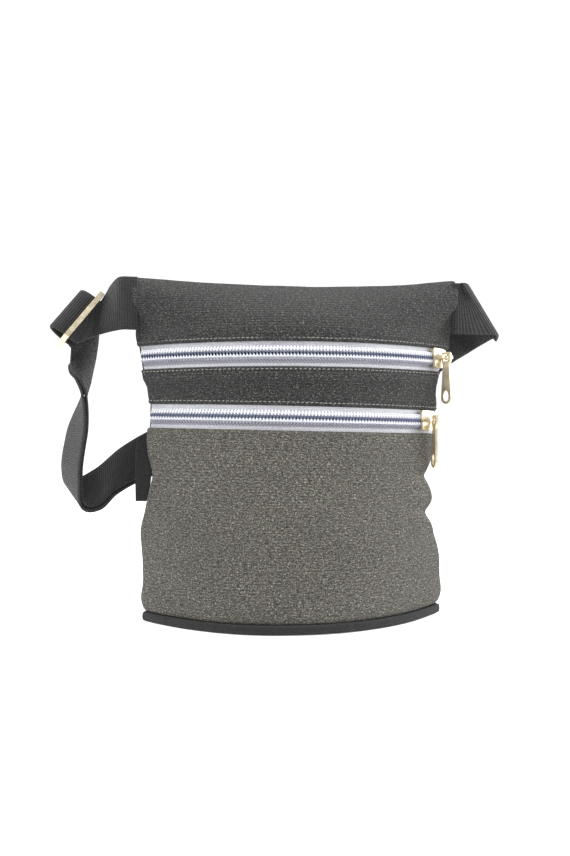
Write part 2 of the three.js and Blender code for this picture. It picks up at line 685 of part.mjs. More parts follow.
// Where the two webbings leave the side seams, near the top corners
const STRAP_HEIGHT = BAG_HEIGHT - STRAP_DROP;
const seamRoot = (share, x) => vec(x, frontPoint(share, STRAP_HEIGHT, CLOTH).y + CLOTH_GAP / 2, STRAP_HEIGHT);
const leftRoot = seamRoot(0, -reach(leftEdgeShares, STRAP_HEIGHT) - CLOTH_GAP);
const rightRoot = seamRoot(1, reach(rightEdgeShares, STRAP_HEIGHT) + CLOTH_GAP);

// A place of the long strap beside the bag, as shares of its hang from its root
function besideBag(xShare, yShare, zShare) {
  return leftRoot.clone().add(vec(xShare, yShare, zShare).multiplyScalar(STRAP_HANG));
}

// A place behind the bag: a share of its half width, a share of the strap's hang below its
// root, and a share of that hang behind the back's outer face.
function behindBag(xShare, dropShare, gapShare) {
  const x = HALF_WIDTH * xShare;
  const z = STRAP_HEIGHT - STRAP_HANG * dropShare;
  const left = frontPoint(0, z, CLOTH).x;
  const right = frontPoint(1, z, CLOTH).x;
  const back = backPoint((x - left) / (right - left), z, 0).y;
  return vec(x, back + STRAP_HANG * gapShare, z);
}

// The tri-glide is seen almost edge-on, one bar behind the other. The webbing from the bag
// comes up through its near slot and goes back down through its far one.
const glideBars = vec(0.49, 0.42, 0.764).normalize();
const glideOut = vec(-0.76, -0.22, 0.61).projectOnPlane(glideBars).normalize();
const glideBack = vec().crossVectors(glideOut, glideBars).normalize();
const glideAt = besideBag(-0.285, 0.077, -0.08);
const glidePoint = (back, out) => glideAt.clone().addScaledVector(glideBack, back).addScaledVector(glideOut, out);

// The ring hangs behind the bag, in the short strap that comes from the right seam.
const ringRun = vec(0.69, -0.41, 0.6).normalize();
const ringBars = vec(-0.656, 0, 0.755).addScaledVector(ringRun, 0).normalize();
const ringOut = vec().crossVectors(ringRun, ringBars).normalize();
const ringSquare = vec().crossVectors(ringOut, ringRun).normalize();
const ringAt = behindBag(0.75, 0.324, 0.207);
const ringPoint = (run, out) => ringAt.clone().addScaledVector(ringRun, run).addScaledVector(ringOut, out);

function metalFrame(name, height, bars, along, across, at) {
  const mesh = piece(name, barFrame(height, bars), NICKEL);
  placed(mesh, new THREE.Matrix4().makeBasis(along, across, vec().crossVectors(along, across)), at);
}
metalFrame('tri_glide', GLIDE_HEIGHT, 3, glideBars, glideBack, glideAt);
metalFrame('strap_ring', RING_HEIGHT, 2, ringSquare, ringRun, ringAt);

// Half a turn of webbing round a bar, from a start direction through a top direction
function wrapped(middle, start, top, radius, rise, width) {
  return rowsBetween(0, 1, wrapCount).map((share) => standing(middle.clone()
    .addScaledVector(start, radius * Math.cos(Math.PI * share))
    .addScaledVector(top, rise * Math.sin(Math.PI * share)), width));
}

// A slanting fold: webbing that goes along a run and turns about an axis across it.
function folded(from, run, axis, radius, turn) {
  const slide = run.dot(axis);
  const across = run.clone().addScaledVector(axis, -slide);
  const pace = across.length();
  across.normalize();
  const inward = vec().crossVectors(axis, across);
  return rowsBetween(0, turn, wrapCount).map((angle) => standing(from.clone()
    .addScaledVector(across, radius * Math.sin(angle))
    .addScaledVector(inward, radius * (1 - Math.cos(angle)))
    .addScaledVector(axis, (slide * radius * angle) / pace), axis));
}

const LOOP_RADIUS = Math.SQRT2 * WIRE_RADIUS + FIT_GAP + WEBBING / 2;

// The long strap. It leaves the left seam, turns round the tri-glide's middle bar, hangs
// down doubled and sewn flat, and goes up behind the bag, where it turns round the ring.
const doubled = [
  standing(glidePoint(SLOT_PLACE, -WIRE_RADIUS), glideBars),
  standing(glidePoint(SLOT_PLACE, -DOUBLED), glideBars),
  standing(besideBag(-0.261, 0.117, -0.127), glideBars),
  standing(besideBag(-0.273, 0.125, -0.198), toward(0.47, 0.42, 0.76)),
  standing(besideBag(-0.274, 0.12, -0.278), toward(0.36, 0.7, 0.6)),
  standing(besideBag(-0.267, 0.097, -0.381), toward(0.06, 0.97, 0.22)),
  standing(besideBag(-0.265, 0.08, -0.485), toward(-0.18, 0.98, 0.03)),
  standing(besideBag(-0.299, 0.068, -0.679), toward(-0.5, 0.87, 0)),
  standing(besideBag(-0.328, 0.062, -0.9), toward(-0.5, 0.84, 0.12)),
  standing(besideBag(-0.305, 0.068, -1.03), toward(-0.42, 0.82, 0.36)),
  standing(besideBag(-0.196, 0.091, -1), toward(-0.2, 0.74, 0.62)),
  standing(besideBag(-0.087, 0.125, -0.903), toward(0, 0.62, 0.78)),
  standing(besideBag(0.05, 0.188, -0.822), toward(0.05, 0.5, 0.86)),
  standing(behindBag(-0.625, 0.725, 0.234), toward(-0.08, 0.3, 0.95)),
  standing(behindBag(-0.25, 0.633, 0.298), toward(-0.22, 0.12, 0.96)),
  standing(behindBag(0.15, 0.542, 0.324), toward(-0.32, 0.02, 0.94)),
  standing(behindBag(0.475, 0.45, 0.318), toward(-0.45, 0, 0.88)),
  standing(ringPoint(-RING_HEIGHT / 2 - LOOP_RISE, 0), ringSquare),
  standing(ringPoint(-RING_HEIGHT / 2 + WIRE_RADIUS, 0), ringSquare),
];

function linear(rows, x) {
  const i = rows.findIndex((row) => row[0] >= x);
  if (i < 0) return rows[rows.length - 1][1];
  if (i === 0) return rows[0][1];
  const [x0, v0] = rows[i - 1];
  const [x1, v1] = rows[i];
  return v0 + ((v1 - v0) * (x - x0)) / (x1 - x0);
}

function longStrap() {
  const middle = withNormals(refined(doubled, WEBBING_STEP));
  let run = 0;
  const runs = middle.map((s, i) => {
    if (i > 0) run += s.at.distanceTo(middle[i - 1].at);
    return run;
  });
  const lift = (DOUBLED - WEBBING) / 2;
  const merge = STITCHED_END + WEBBING_STEP / 2;
  const thickRows = [[WEBBING_STEP, WEBBING], [3 * WEBBING_STEP, DOUBLED],
    [run - merge, DOUBLED], [run - STITCHED_END, WEBBING]];
  const liftRows = [[0, 0], [run - merge, 0], [run - STITCHED_END, lift], [run, LOOP_RADIUS]];
  const down = middle.map((s, i) => ({
    at: s.at.clone().addScaledVector(s.normal, linear(liftRows, runs[i])),
    width: s.width,
    thick: linear(thickRows, runs[i]),
  }));
  const end = middle.filter((s, i) => runs[i] > run - STITCHED_END);
  const endRuns = runs.filter((distance) => distance > run - STITCHED_END);
  const back = end.map((s, i) => (
    standing(s.at.clone().addScaledVector(s.normal, -linear(liftRows, endRuns[i])), s.width)
  )).reverse();
  const ringBar = ringPoint(-RING_HEIGHT / 2 + WIRE_RADIUS, 0);
  const outside = vec().subVectors(down[down.length - 1].at, ringBar).normalize();
  const stub = refined([
    standing(leftRoot, toward(0, 0, 1)),
    standing(besideBag(-0.06, 0.004, 0), toward(0, 0, 1)),
    standing(besideBag(-0.167, 0.09, -0.03), toward(0.22, 0.18, 0.95)),
    standing(glidePoint(-SLOT_PLACE, -SLOT_PLACE), toward(0.4, 0.34, 0.85)),
    standing(glidePoint(-SLOT_PLACE, -WIRE_RADIUS), glideBars),
  ], WEBBING_STEP);
  const front = glideBack.clone().negate();
  return [
    ...stub,
    ...wrapped(glidePoint(0, 0), front, glideOut, SLOT_PLACE, LOOP_RISE, glideBars),
    ...down,
    ...wrapped(ringBar, outside, ringRun, LOOP_RADIUS, LOOP_RADIUS, ringSquare).slice(1, -1),
    ...back,
  ];
}
piece('long_strap', ribbon(longStrap(), false), BLACK_WEBBING);

// The short strap. It leaves the right seam, folds over on a slant and runs back down
// behind the bag to the ring.
function shortStrap() {
  const ringBar = ringPoint(RING_HEIGHT / 2 - WIRE_RADIUS, 0);
  const slant = toward(-0.56, -0.1, 0.82);
  const beyond = (distance) => rightRoot.clone().add(vec(distance, 0, 0));
  const lead = refined([
    standing(beyond(0), toward(0, 0, 1)),
    standing(beyond(3 * WEBBING), toward(-0.15, 0, 0.98)),
    standing(beyond(SHORT_LEAD), slant),
  ], WEBBING_STEP);
  const under = beyond(SHORT_LEAD).addScaledVector(vec(-0.152, 0.628, -0.352), WEBBING_WIDTH);
  const fold = folded(lead.pop().at, vec(1, 0, 0), slant, FOLD_RADIUS, radians(foldDegrees));
  const tail = refined([
    fold.pop(),
    standing(under, toward(-0.63, -0.05, 0.77)),
    standing(ringPoint(RING_HEIGHT / 2 + SHORT_STITCHED_END + DOUBLED, LAYER_PITCH / 2), ringSquare),
    standing(ringPoint(RING_HEIGHT / 2 + 4 * WIRE_RADIUS, LAYER_PITCH / 2), ringSquare),
  ], WEBBING_STEP);
  return [
    ...lead,
    ...fold,
    ...tail,
    ...wrapped(ringBar, ringOut, ringRun.clone().negate(), LOOP_RADIUS, LOOP_RADIUS, ringSquare),
    standing(ringPoint(RING_HEIGHT / 2 + 4 * WIRE_RADIUS, -LAYER_PITCH / 2), ringSquare),
    standing(ringPoint(RING_HEIGHT / 2 + SHORT_STITCHED_END, -LAYER_PITCH / 2), ringSquare),
  ];
}
piece('short_strap', ribbon(shortStrap(), true), BLACK_WEBBING);

export default bag;
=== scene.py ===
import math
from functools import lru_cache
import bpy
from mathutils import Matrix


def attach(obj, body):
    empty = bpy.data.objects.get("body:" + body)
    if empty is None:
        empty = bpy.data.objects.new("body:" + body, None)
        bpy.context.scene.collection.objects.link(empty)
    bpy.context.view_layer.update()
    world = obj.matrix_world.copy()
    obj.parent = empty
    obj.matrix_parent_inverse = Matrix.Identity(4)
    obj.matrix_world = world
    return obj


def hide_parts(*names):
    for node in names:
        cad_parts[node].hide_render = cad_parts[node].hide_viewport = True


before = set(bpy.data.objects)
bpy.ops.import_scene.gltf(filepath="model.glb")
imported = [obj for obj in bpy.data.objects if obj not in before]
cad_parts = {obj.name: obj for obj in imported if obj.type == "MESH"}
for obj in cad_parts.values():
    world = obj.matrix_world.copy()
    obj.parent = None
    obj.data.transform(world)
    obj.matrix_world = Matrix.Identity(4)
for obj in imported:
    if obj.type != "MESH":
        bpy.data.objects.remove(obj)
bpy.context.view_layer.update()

# A small soft shoulder bag. Sizes are in millimetres here, and MM turns them into metres.
# The front faces -Y, the origin is under the middle of the base, and +Z is up.
from types import SimpleNamespace

import bpy
import numpy as np
from mathutils import Vector, noise

MM = 0.001

# The body of the bag
BAG_HEIGHT = 160
HALF_WIDTH = 80
CLOTH = 1.2
CLOTH_GAP = 0.4
FIT_GAP = 0.3
SEAM_HEIGHT = 4.5
TOP_SAG = 3.5
TOP_SET_BACK = 8
TOP_SLOPE = -1.8
TOP_RADIUS = 2500
BACK_BULGE = 15
BASE_BULGE = 28
BASE_RADIUS = 95
BELLY_HEIGHT = 30
BELLY_BULGE = 28.5
BELLY_RADIUS = 104
FOOT_INSET = 1.8
DIVIDER_CLOTH = 0.8
DIVIDER_INSET = 10
DIVIDER_LIFT = 2.4
DIVIDER_DEPTH_SHARE = 0.45

# The zips
ZIP_RADIUS = 115
BAND_HALF = 5.5
TAPE_HALF = 10
TAPE = 0.6
SLOT_HALF = 0.6
TAPE_END = 0.9
TAPE_OUT = -CLOTH - FIT_GAP
ZONE_HALF = TAPE_HALF + FIT_GAP
TOOTH_PITCH = 1.5
TOOTH_HALF = 0.37

# The webbing, the tri-glide and the ring
WEBBING_WIDTH = 25
WEBBING = 1.3
LAYER_PITCH = 1.9
DOUBLED_PITCH = 1.6
SLOT_PLACE = 3.4
DOUBLED_THICK = 2.9
LOOP_RISE = 8
SHORT_LEAD = 9.6
FOLD_RADIUS = 3.2
FOLD_TURN = 150
ROOT_HIDDEN = 2.6
WIRE_RADIUS = 1.2
RING_HEIGHT = 12
STITCHED_END = 15
SHORT_STITCHED_END = 13
STRAP_HEIGHT = 147.3
STRAP_HANG = 87.3

# The side label
LABEL = 1
LABEL_REACH = 4.8
LABEL_BOTTOM = 54.7
LABEL_TOP = 83.9

# Each row is a height as a share of BAG_HEIGHT and a reach as a share of HALF_WIDTH.
LEFT_EDGE_SHARES = [
    (0, 0.872), (0.03, 0.876), (0.115, 0.888), (0.22, 0.9), (0.26, 0.9), (0.345, 0.86), (0.42, 0.832),
    (0.49, 0.862), (0.58, 0.86), (0.64, 0.866), (0.725, 0.905), (0.78, 0.925), (0.84, 0.945), (1, 0.952),
]
RIGHT_EDGE_SHARES = [
    (0, 0.862), (0.07, 0.878), (0.145, 0.873), (0.205, 0.854), (0.265, 0.805), (0.31, 0.776),
    (0.36, 0.812), (0.42, 0.775), (0.475, 0.824), (0.525, 0.85), (0.625, 0.866), (0.7, 0.87),
    (0.775, 0.955), (0.825, 0.984), (0.94, 0.996), (1, 0.996),
]
# Each row is a height as a share of BAG_HEIGHT and a share of BACK_BULGE.
BACK_BULGE_SHARES = [(0, 0.8), (0.25, 1), (0.6, 0.9), (0.85, 0.45), (1, 0.12)]


def vec(x, y, z):
    return np.array([x, y, z], float)


def unit(v):
    return v / np.linalg.norm(v)


def smooth(x, low, high):
    t = np.clip((x - low) / (high - low), 0, 1)
    return t * t * (3 - 2 * t)


# Smooth curves through (place, value) rows, by cubic steps with averaged slopes
def hermite(x0, v0, s0, x1, v1, s1, x):
    t = (x - x0) / (x1 - x0)
    u = 1 - t
    return u * u * (1 + 2 * t) * v0 + t * t * (3 - 2 * t) * v1 + (x1 - x0) * t * u * (u * s0 - t * s1)


def through(rows, x):
    last = len(rows) - 1
    if x <= rows[0][0]:
        return rows[0][1]
    if x >= rows[last][0]:
        return rows[last][1]

    def slope(i):
        a = rows[max(i - 1, 0)]
        b = rows[min(i + 1, last)]
        return (b[1] - a[1]) / (b[0] - a[0])

    i = next(k for k, row in enumerate(rows) if row[0] > x) - 1
    return hermite(rows[i][0], rows[i][1], slope(i), rows[i + 1][0], rows[i + 1][1], slope(i + 1), x)


def reach(shares, z):
    return HALF_WIDTH * through(shares, z / BAG_HEIGHT)


# The two zips lie on arcs of ZIP_RADIUS.
def make_zip(name, height, bulge, lean, roll):
    return SimpleNamespace(
        name=name, height=height, bulge=bulge, lean=math.radians(lean), roll=math.radians(roll),
        axis_y=ZIP_RADIUS - bulge,
    )


UPPER_ZIP = make_zip("upper", 122.5, 21, 6, 0)
LOWER_ZIP = make_zip("lower", 93.7, 21.7, 5, 1.2)
ZIPS = [UPPER_ZIP, LOWER_ZIP]


def cone_at(zip_line, z):
    rise = math.tan(zip_line.lean) * (z - zip_line.height)
    return zip_line.bulge - rise, ZIP_RADIUS - rise


def cone_knot(zip_line, side):
    z = zip_line.height + side * ZONE_HALF
    bulge, radius = cone_at(zip_line, z)
    fall = math.tan(zip_line.lean)
    return z, bulge, -fall, 1 / radius, fall / radius / radius


# Each knot is a height, a bulge and its slope, and a bend and its slope.
PROFILE_KNOTS = [
    (0, BASE_BULGE, 0, 1 / BASE_RADIUS, 0),
    (BELLY_HEIGHT, BELLY_BULGE, 0, 1 / BELLY_RADIUS, 0),
    cone_knot(LOWER_ZIP, -1),
    cone_knot(LOWER_ZIP, 1),
    cone_knot(UPPER_ZIP, -1),
    cone_knot(UPPER_ZIP, 1),
    (BAG_HEIGHT, -TOP_SET_BACK, TOP_SLOPE, 1 / TOP_RADIUS, 0),
]


@lru_cache(maxsize=None)
def front_at(z):
    """The plan arc of the front at a height: its bulge ahead of y = 0, and its radius."""
    for zip_line in ZIPS:
        if abs(z - zip_line.height) <= ZONE_HALF:
            return cone_at(zip_line, z)
    above = next((k for k, knot in enumerate(PROFILE_KNOTS) if knot[0] > z), len(PROFILE_KNOTS) - 1)
    a, b = PROFILE_KNOTS[above - 1], PROFILE_KNOTS[above]
    at = min(max(z, a[0]), b[0])
    bulge = hermite(a[0], a[1], a[2], b[0], b[1], b[2], at)
    bend = hermite(a[0], a[3], a[4], b[0], b[3], b[4], at)
    return bulge, 1 / bend


def front_row(z, shares, depth):
    """Points of the front at a height, by shares of the way from the left to the right seam."""
    bulge, radius = front_at(z)
    left = -math.asin(reach(LEFT_EDGE_SHARES, z) / radius)
    right = math.asin(reach(RIGHT_EDGE_SHARES, z) / radius)
    angle = left + (right - left) * np.asarray(shares, float)
    r = radius - depth
    return np.stack([r * np.sin(angle), radius - bulge - r * np.cos(angle), np.full(angle.shape, z)], -1)


def back_row(z, shares, depth):
    left, right = front_row(z, [0, 1], CLOTH)
    share = np.asarray(shares, float)[:, None]
    bulge = BACK_BULGE * through(BACK_BULGE_SHARES, z / BAG_HEIGHT)
    points = left + (right - left) * share
    points[:, 1] += CLOTH_GAP + bulge * (1 - np.abs(2 * share[:, 0] - 1) ** 3) + CLOTH - depth
    return points


ROLL_START = BELLY_HEIGHT
ROLL_FULL = LOWER_ZIP.height - ZONE_HALF
ROLL_LAST = LOWER_ZIP.height + ZONE_HALF
ROLL_END = UPPER_ZIP.height - ZONE_HALF
SAG_START = UPPER_ZIP.height + ZONE_HALF


def settled(points):
    """The sag of the top edge and the slight roll of the lower zip, for every cloth point."""
    x, y, z = np.moveaxis(points, -1, 0)
    roll = LOWER_ZIP.roll * (smooth(z, ROLL_START, ROLL_FULL) - smooth(z, ROLL_LAST, ROLL_END))
    above = z - LOWER_ZIP.height
    share = np.maximum(0, z - SAG_START) / (BAG_HEIGHT - SAG_START)
    sag = TOP_SAG * share * share * np.maximum(0, 1 - (x / HALF_WIDTH) ** 2)
    return np.stack([
        x * np.cos(roll) + above * np.sin(roll),
        y,
        LOWER_ZIP.height + above * np.cos(roll) - x * np.sin(roll) - sag,
    ], -1)


def zip_points(zip_line, angle, up, out):
    """Points beside a zip: an angle along its arc, a distance up the cone and a height above the cloth."""
    angle, up, out = np.broadcast_arrays(angle, up, out)
    lean, roll = zip_line.lean, zip_line.roll
    r = ZIP_RADIUS + out * math.cos(lean) - up * math.sin(lean)
    rise = up * math.cos(lean) + out * math.sin(lean)
    x = r * np.sin(angle)
    return np.stack([
        x * math.cos(roll) + rise * math.sin(roll),
        zip_line.axis_y - r * np.cos(angle),
        zip_line.height + rise * math.cos(roll) - x * math.sin(roll),
    ], -1)


def angle_to_edge(shares, z, room):
    radius = front_at(z)[1]
    return math.asin(reach(shares, z) / radius) - room / radius


def band_edge(zip_line, side):
    """The height where the cloth above or below a zip begins"""
    return zip_line.height + side * BAND_HALF * math.cos(zip_line.lean)


# Node materials
def put(socket, value):
    """Links a value to a socket, or sets the socket to it."""
    if isinstance(value, Value):
        value.tree.links.new(value.socket, socket)
    elif isinstance(value, tuple) and len(socket.default_value) == 4:
        socket.default_value = (*value, 1)
    else:
        socket.default_value = value


def add(tree, kind, inputs=None, output=0, **settings):
    """A shader node, with its settings and its inputs. Returns one of its outputs."""
    node = tree.nodes.new(kind)
    for name, value in settings.items():
        setattr(node, name, value)
    for name, value in (inputs or {}).items():
        put(node.inputs[name], value)
    return Value(node, output)


class Value:
    """One output of a node, with the sums that the materials need"""

    def __init__(self, node, output=0):
        self.node = node
        self.tree = node.id_data
        self.socket = node.outputs[output]

    def maths(self, operation, other=0.0):
        return add(self.tree, "ShaderNodeMath", {0: self, 1: other}, operation=operation)

    def __add__(self, other):
        return self.maths("ADD", other)

    def __mul__(self, other):
        return self.maths("MULTIPLY", other)

    def wave(self, length):
        return (self * (2 * math.pi / length)).maths("SINE")

    def remapped(self, low, high, least=0.0, most=1.0):
        return add(self.tree, "ShaderNodeMapRange", {0: self, 1: low, 2: high, 3: least, 4: most})

    def mixed(self, a, b):
        """Colour a where this value is 0 and colour b where it is 1"""
        return add(self.tree, "ShaderNodeMix", {0: self, 6: a, 7: b}, 2, data_type="RGBA")

    def shaded(self, value, low, high, least, most):
        """This colour times a factor that runs from least to most as the value runs from low to high"""
        factor = value.remapped(low, high, least, most)
        grey = add(self.tree, "ShaderNodeCombineColor", {0: factor, 1: factor, 2: factor})
        return add(self.tree, "ShaderNodeMix", {0: 1.0, 6: self, 7: grey}, 2,
                   data_type="RGBA", blend_type="MULTIPLY")


class Look:
    """A Principled material, with its sockets set by name"""

    def __init__(self, name, **surface):
        self.material = bpy.data.materials.new(name)
        self.material.use_nodes = True
        self.tree = self.material.node_tree
        self.shader = self.tree.nodes["Principled BSDF"]
        for socket, value in surface.items():
            put(self.shader.inputs[socket.replace("_", " ")], value)

    def finished(self, colour, height, depth):
        """The material, with its colour and a bump of a depth in metres"""
        bump = add(self.tree, "ShaderNodeBump", {"Height": height, "Distance": depth})
        put(self.shader.inputs["Base Color"], colour)
        put(self.shader.inputs["Normal"], bump)
        return self.material


class ClothLook(Look):
    """A material that knows its place on the flat cloth, in millimetres along it and across it"""

    def __init__(self, name, **surface):
        super().__init__(name, **surface)
        self.place = add(self.tree, "ShaderNodeUVMap", uv_map="flat")
        self.along = add(self.tree, "ShaderNodeSeparateXYZ", {0: self.place})
        self.across = Value(self.along.node, 1)

    def noise(self, along, across, detail, seed):
        """Noise with its own number of features a millimetre along and across"""
        scaled = add(self.tree, "ShaderNodeVectorMath", {0: self.place, 1: (along, across, 1)},
                     operation="MULTIPLY")
        return add(self.tree, "ShaderNodeTexNoise", {
            "Vector": scaled, "W": seed, "Scale": 1.0, "Detail": detail, "Roughness": 0.6,
        }, noise_dimensions="4D")

    def threads(self, pitch_along, pitch_across):
        """The height of a plain weave: over and under in turn, along and across"""
        return (self.along.wave(2 * pitch_along) * self.across.wave(2 * pitch_across)).maths("ABSOLUTE")


def melange_cloth(name, dark, middle, light, fleck, seed):
    """Speckled woven cloth: short streaks of lighter and darker yarn across a plain weave"""
    look = ClothLook(name, Roughness=0.92, Sheen_Weight=0.12, Sheen_Roughness=0.55,
                     Specular_IOR_Level=0.25)
    streaks = look.noise(0.5, 1.9, 2.0, seed)
    slubs = look.noise(0.11, 0.9, 3.0, seed + 1)
    speckle = look.noise(1.7, 2.0, 1.0, seed + 2)
    clouds = look.noise(0.035, 0.05, 2.0, seed + 3)
    flecks = look.noise(1.1, 1.6, 1.0, seed + 4).remapped(0.60, 0.67) * 0.8
    sway = look.noise(0.2, 0.3, 1.0, seed + 5) * 5.0
    holes = look.noise(1.3, 1.5, 1.0, seed + 6).remapped(0.37, 0.31) * 0.7
    weave = look.threads(0.62, 0.55)
    ribs = (look.across * 4.5 + sway).maths("SINE")
    tone = streaks * 0.5 + speckle * 0.5
    colour = tone.remapped(0.41, 0.50).mixed(dark, middle)
    colour = tone.remapped(0.52, 0.61).mixed(colour, light)
    colour = holes.mixed(flecks.mixed(colour, fleck), dark)
    colour = colour.shaded(slubs, 0.3, 0.7, 0.84, 1.14).shaded(clouds, 0.3, 0.7, 0.93, 1.07)
    # Painted shade and light: the colour darkens in the weave's pits and the rib troughs, and lightens on
    # the rib crests.
    colour = colour.shaded(weave, 0.0, 0.8, 0.72, 1.1).shaded(ribs, -1.0, 1.0, 0.88, 1.1)
    return look.finished(colour, weave + tone * 1.6 + ribs * 0.35, 0.0003)


def plain_cloth(name, dark, light, pitch, depth, roughness=0.88):
    """Plain black cloth with a fine weave and a little lint"""
    look = ClothLook(name, Roughness=roughness, Sheen_Weight=0.1, Sheen_Roughness=0.5,
                     Specular_IOR_Level=0.3)
    tone = look.noise(0.5, 0.9, 3.0, 5.0)
    weave = look.threads(pitch, pitch)
    # Painted shade: the colour is darker in the weave's pits.
    colour = tone.remapped(0.35, 0.65).mixed(dark, light).shaded(weave, 0.0, 0.8, 0.75, 1.1)
    return look.finished(colour, weave + tone, depth)


def ribbed_webbing(name, dark, light):
    """Webbing: ribs across its width, fine warp lines along it and worn, lighter edges"""
    look = ClothLook(name, Roughness=0.7, Sheen_Weight=0.15, Sheen_Roughness=0.4, Specular_IOR_Level=0.4)
    ribs = look.along.wave(1.15)
    warp = look.across.wave(0.8)
    tone = look.noise(0.25, 1.2, 3.0, 9.0)
    edge = WEBBING_WIDTH / 2
    worn = look.across.maths("ABSOLUTE").remapped(edge - 2.2, edge, 0.0, 0.35)
    # Painted shade and light: the colour darkens in the troughs between the ribs and lightens on their
    # crests.
    colour = (tone.remapped(0.35, 0.7) + worn).mixed(dark, light).shaded(ribs, -1.0, 1.0, 0.82, 1.1)
    return look.finished(colour, ribs + warp * 0.35, 0.00016)


def woven_tape(name, dark, light, shade_below_coil):
    """Zip tape: fine cords along it, and below the coil a strip of painted shade, dotted by the coil's
    stitches
    """
    look = ClothLook(name, Roughness=0.8, Sheen_Weight=0.1, Specular_IOR_Level=0.3)
    tone = look.noise(0.8, 1.6, 2.0, 3.0)
    clouds = look.noise(0.06, 0.3, 2.0, 4.0)
    weave = look.threads(0.55, 0.75)
    colour = tone.remapped(0.35, 0.65).mixed(dark, light)
    # Painted shade: the colour is darker in the weave's pits.
    colour = colour.shaded(clouds, 0.3, 0.7, 0.92, 1.06).shaded(weave, 0.0, 0.8, 0.8, 1.05)
    # Painted shade: the strip below the lower coil turns towards a darker colour, in dots like the coil's
    # stitches.
    shaded_strip = look.across.remapped(-4.4, -3.9) * look.across.remapped(-2.0, -2.4)
    dots = look.along.wave(TOOTH_PITCH) * (look.across * 4.6).maths("SINE")
    colour = (shaded_strip * dots.remapped(-0.3, 0.4, 0.35, 0.95)).mixed(colour, shade_below_coil)
    return look.finished(colour, weave, 0.00018)


def coil_plastic(name, middle, shoulder, shade_below_stitches):
    """Nylon teeth: dark where they meet, pale at their shoulders, and with painted shade under the lower
    stitches
    """
    look = ClothLook(name, Roughness=0.35, Specular_IOR_Level=0.5)
    mottle = look.noise(0.9, 0.9, 2.0, 6.0)
    colour = look.across.maths("ABSOLUTE").remapped(0.6, 1.0).mixed(middle, shoulder)
    # Painted shade: beyond its stitches, the lower coil turns towards a darker colour where the coil's
    # shadow falls.
    colour = look.across.remapped(-1.6, -2.0, 0.0, 0.8).mixed(colour, shade_below_stitches)
    return look.finished(colour.shaded(mottle, 0.3, 0.7, 0.85, 1.1), mottle, 0.00004)


def sewing_thread(name, dark, light):
    """Sewing thread, with its twist"""
    look = Look(name, Roughness=0.6, Sheen_Weight=0.1, Specular_IOR_Level=0.4)
    place = add(look.tree, "ShaderNodeTexCoord", output="Object")
    twist = add(look.tree, "ShaderNodeTexWave", {
        "Vector": place, "Scale": 900.0, "Distortion": 0.6, "Detail": 1.0,
    }, 1, wave_type="BANDS", bands_direction="DIAGONAL")
    return look.finished(twist.mixed(dark, light), twist, 0.00005)


def worn_nickel(name, dark, light):
    """Warm nickel plate with fine scratches and a little dullness"""
    look = Look(name, Metallic=0.75)
    place = add(look.tree, "ShaderNodeTexCoord", output="Object")
    smudge = add(look.tree, "ShaderNodeTexNoise", {"Vector": place, "Scale": 260.0, "Detail": 3.0})
    stretch = add(look.tree, "ShaderNodeMapping", {"Vector": place, "Scale": (400.0, 400.0, 5200.0)})
    scratch = add(look.tree, "ShaderNodeTexNoise", {"Vector": stretch, "Scale": 1.0, "Detail": 2.0})
    rough = smudge.remapped(0.3, 0.7, 0.26, 0.4) + scratch.remapped(0.5, 0.7, 0.0, 0.08)
    put(look.shader.inputs["Roughness"], rough)
    return look.finished(smudge.remapped(0.3, 0.7).mixed(dark, light), scratch, 0.000015)


CHARCOAL = melange_cloth("charcoal_cloth", (0.004, 0.0045, 0.004), (0.024, 0.025, 0.024),
                         (0.105, 0.108, 0.102), (0.26, 0.26, 0.24), 1.0)
TAUPE = melange_cloth("taupe_cloth", (0.024, 0.022, 0.017), (0.108, 0.102, 0.085),
                      (0.275, 0.262, 0.222), (0.50, 0.48, 0.42), 11.0)
BLACK_CLOTH = plain_cloth("black_cloth", (0.012, 0.0125, 0.013), (0.030, 0.031, 0.031), 0.6, 0.0002)
LABEL_CLOTH = plain_cloth("label_cloth", (0.002, 0.002, 0.0022), (0.011, 0.011, 0.012), 0.5, 0.00012, 0.75)
WEBBING_CLOTH = ribbed_webbing("black_webbing", (0.0065, 0.0065, 0.007), (0.020, 0.020, 0.0215))
# The tape's last colour is painted shade below the coil.
TAPE_CLOTH = woven_tape("lilac_tape", (0.60, 0.60, 0.65), (0.77, 0.78, 0.82), (0.17, 0.165, 0.22))
# The coil's last colour is painted shade below the lower stitches.
COIL_PLASTIC = coil_plastic("white_coil", (0.10, 0.12, 0.19), (0.90, 0.91, 0.97), (0.30, 0.295, 0.36))
PALE_THREAD = sewing_thread("pale_thread", (0.20, 0.20, 0.18), (0.46, 0.455, 0.42))
WHITE_THREAD = sewing_thread("white_thread", (0.52, 0.53, 0.60), (0.78, 0.79, 0.85))
BLACK_THREAD = sewing_thread("black_thread", (0.02, 0.02, 0.021), (0.07, 0.07, 0.072))
NICKEL = worn_nickel("warm_nickel", (0.56, 0.48, 0.33), (0.72, 0.64, 0.47))


# Meshes from points in millimetres
def mesh_piece(name, points, faces, flat, material, slot, *nodes):
    """A closed mesh that rides on the bag. flat gives each point's place on the flat cloth."""
    mesh = bpy.data.meshes.new(name)
    mesh.from_pydata((np.asarray(points) * MM).tolist(), [], faces)
    layer = mesh.uv_layers.new(name="flat")
    corner_points = np.empty(len(mesh.loops), np.int32)
    mesh.loops.foreach_get("vertex_index", corner_points)
    layer.uv.foreach_set("vector", np.asarray(flat, np.float32)[corner_points].ravel())
    mesh.polygons.foreach_set("use_smooth", np.ones(len(mesh.polygons), bool))
    mesh.materials.append(material)
    mesh.update()
    piece = bpy.data.objects.new(name, mesh)
    bpy.context.scene.collection.objects.link(piece)
    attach(piece, "bag")
    if nodes:
        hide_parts(*nodes)
    return piece


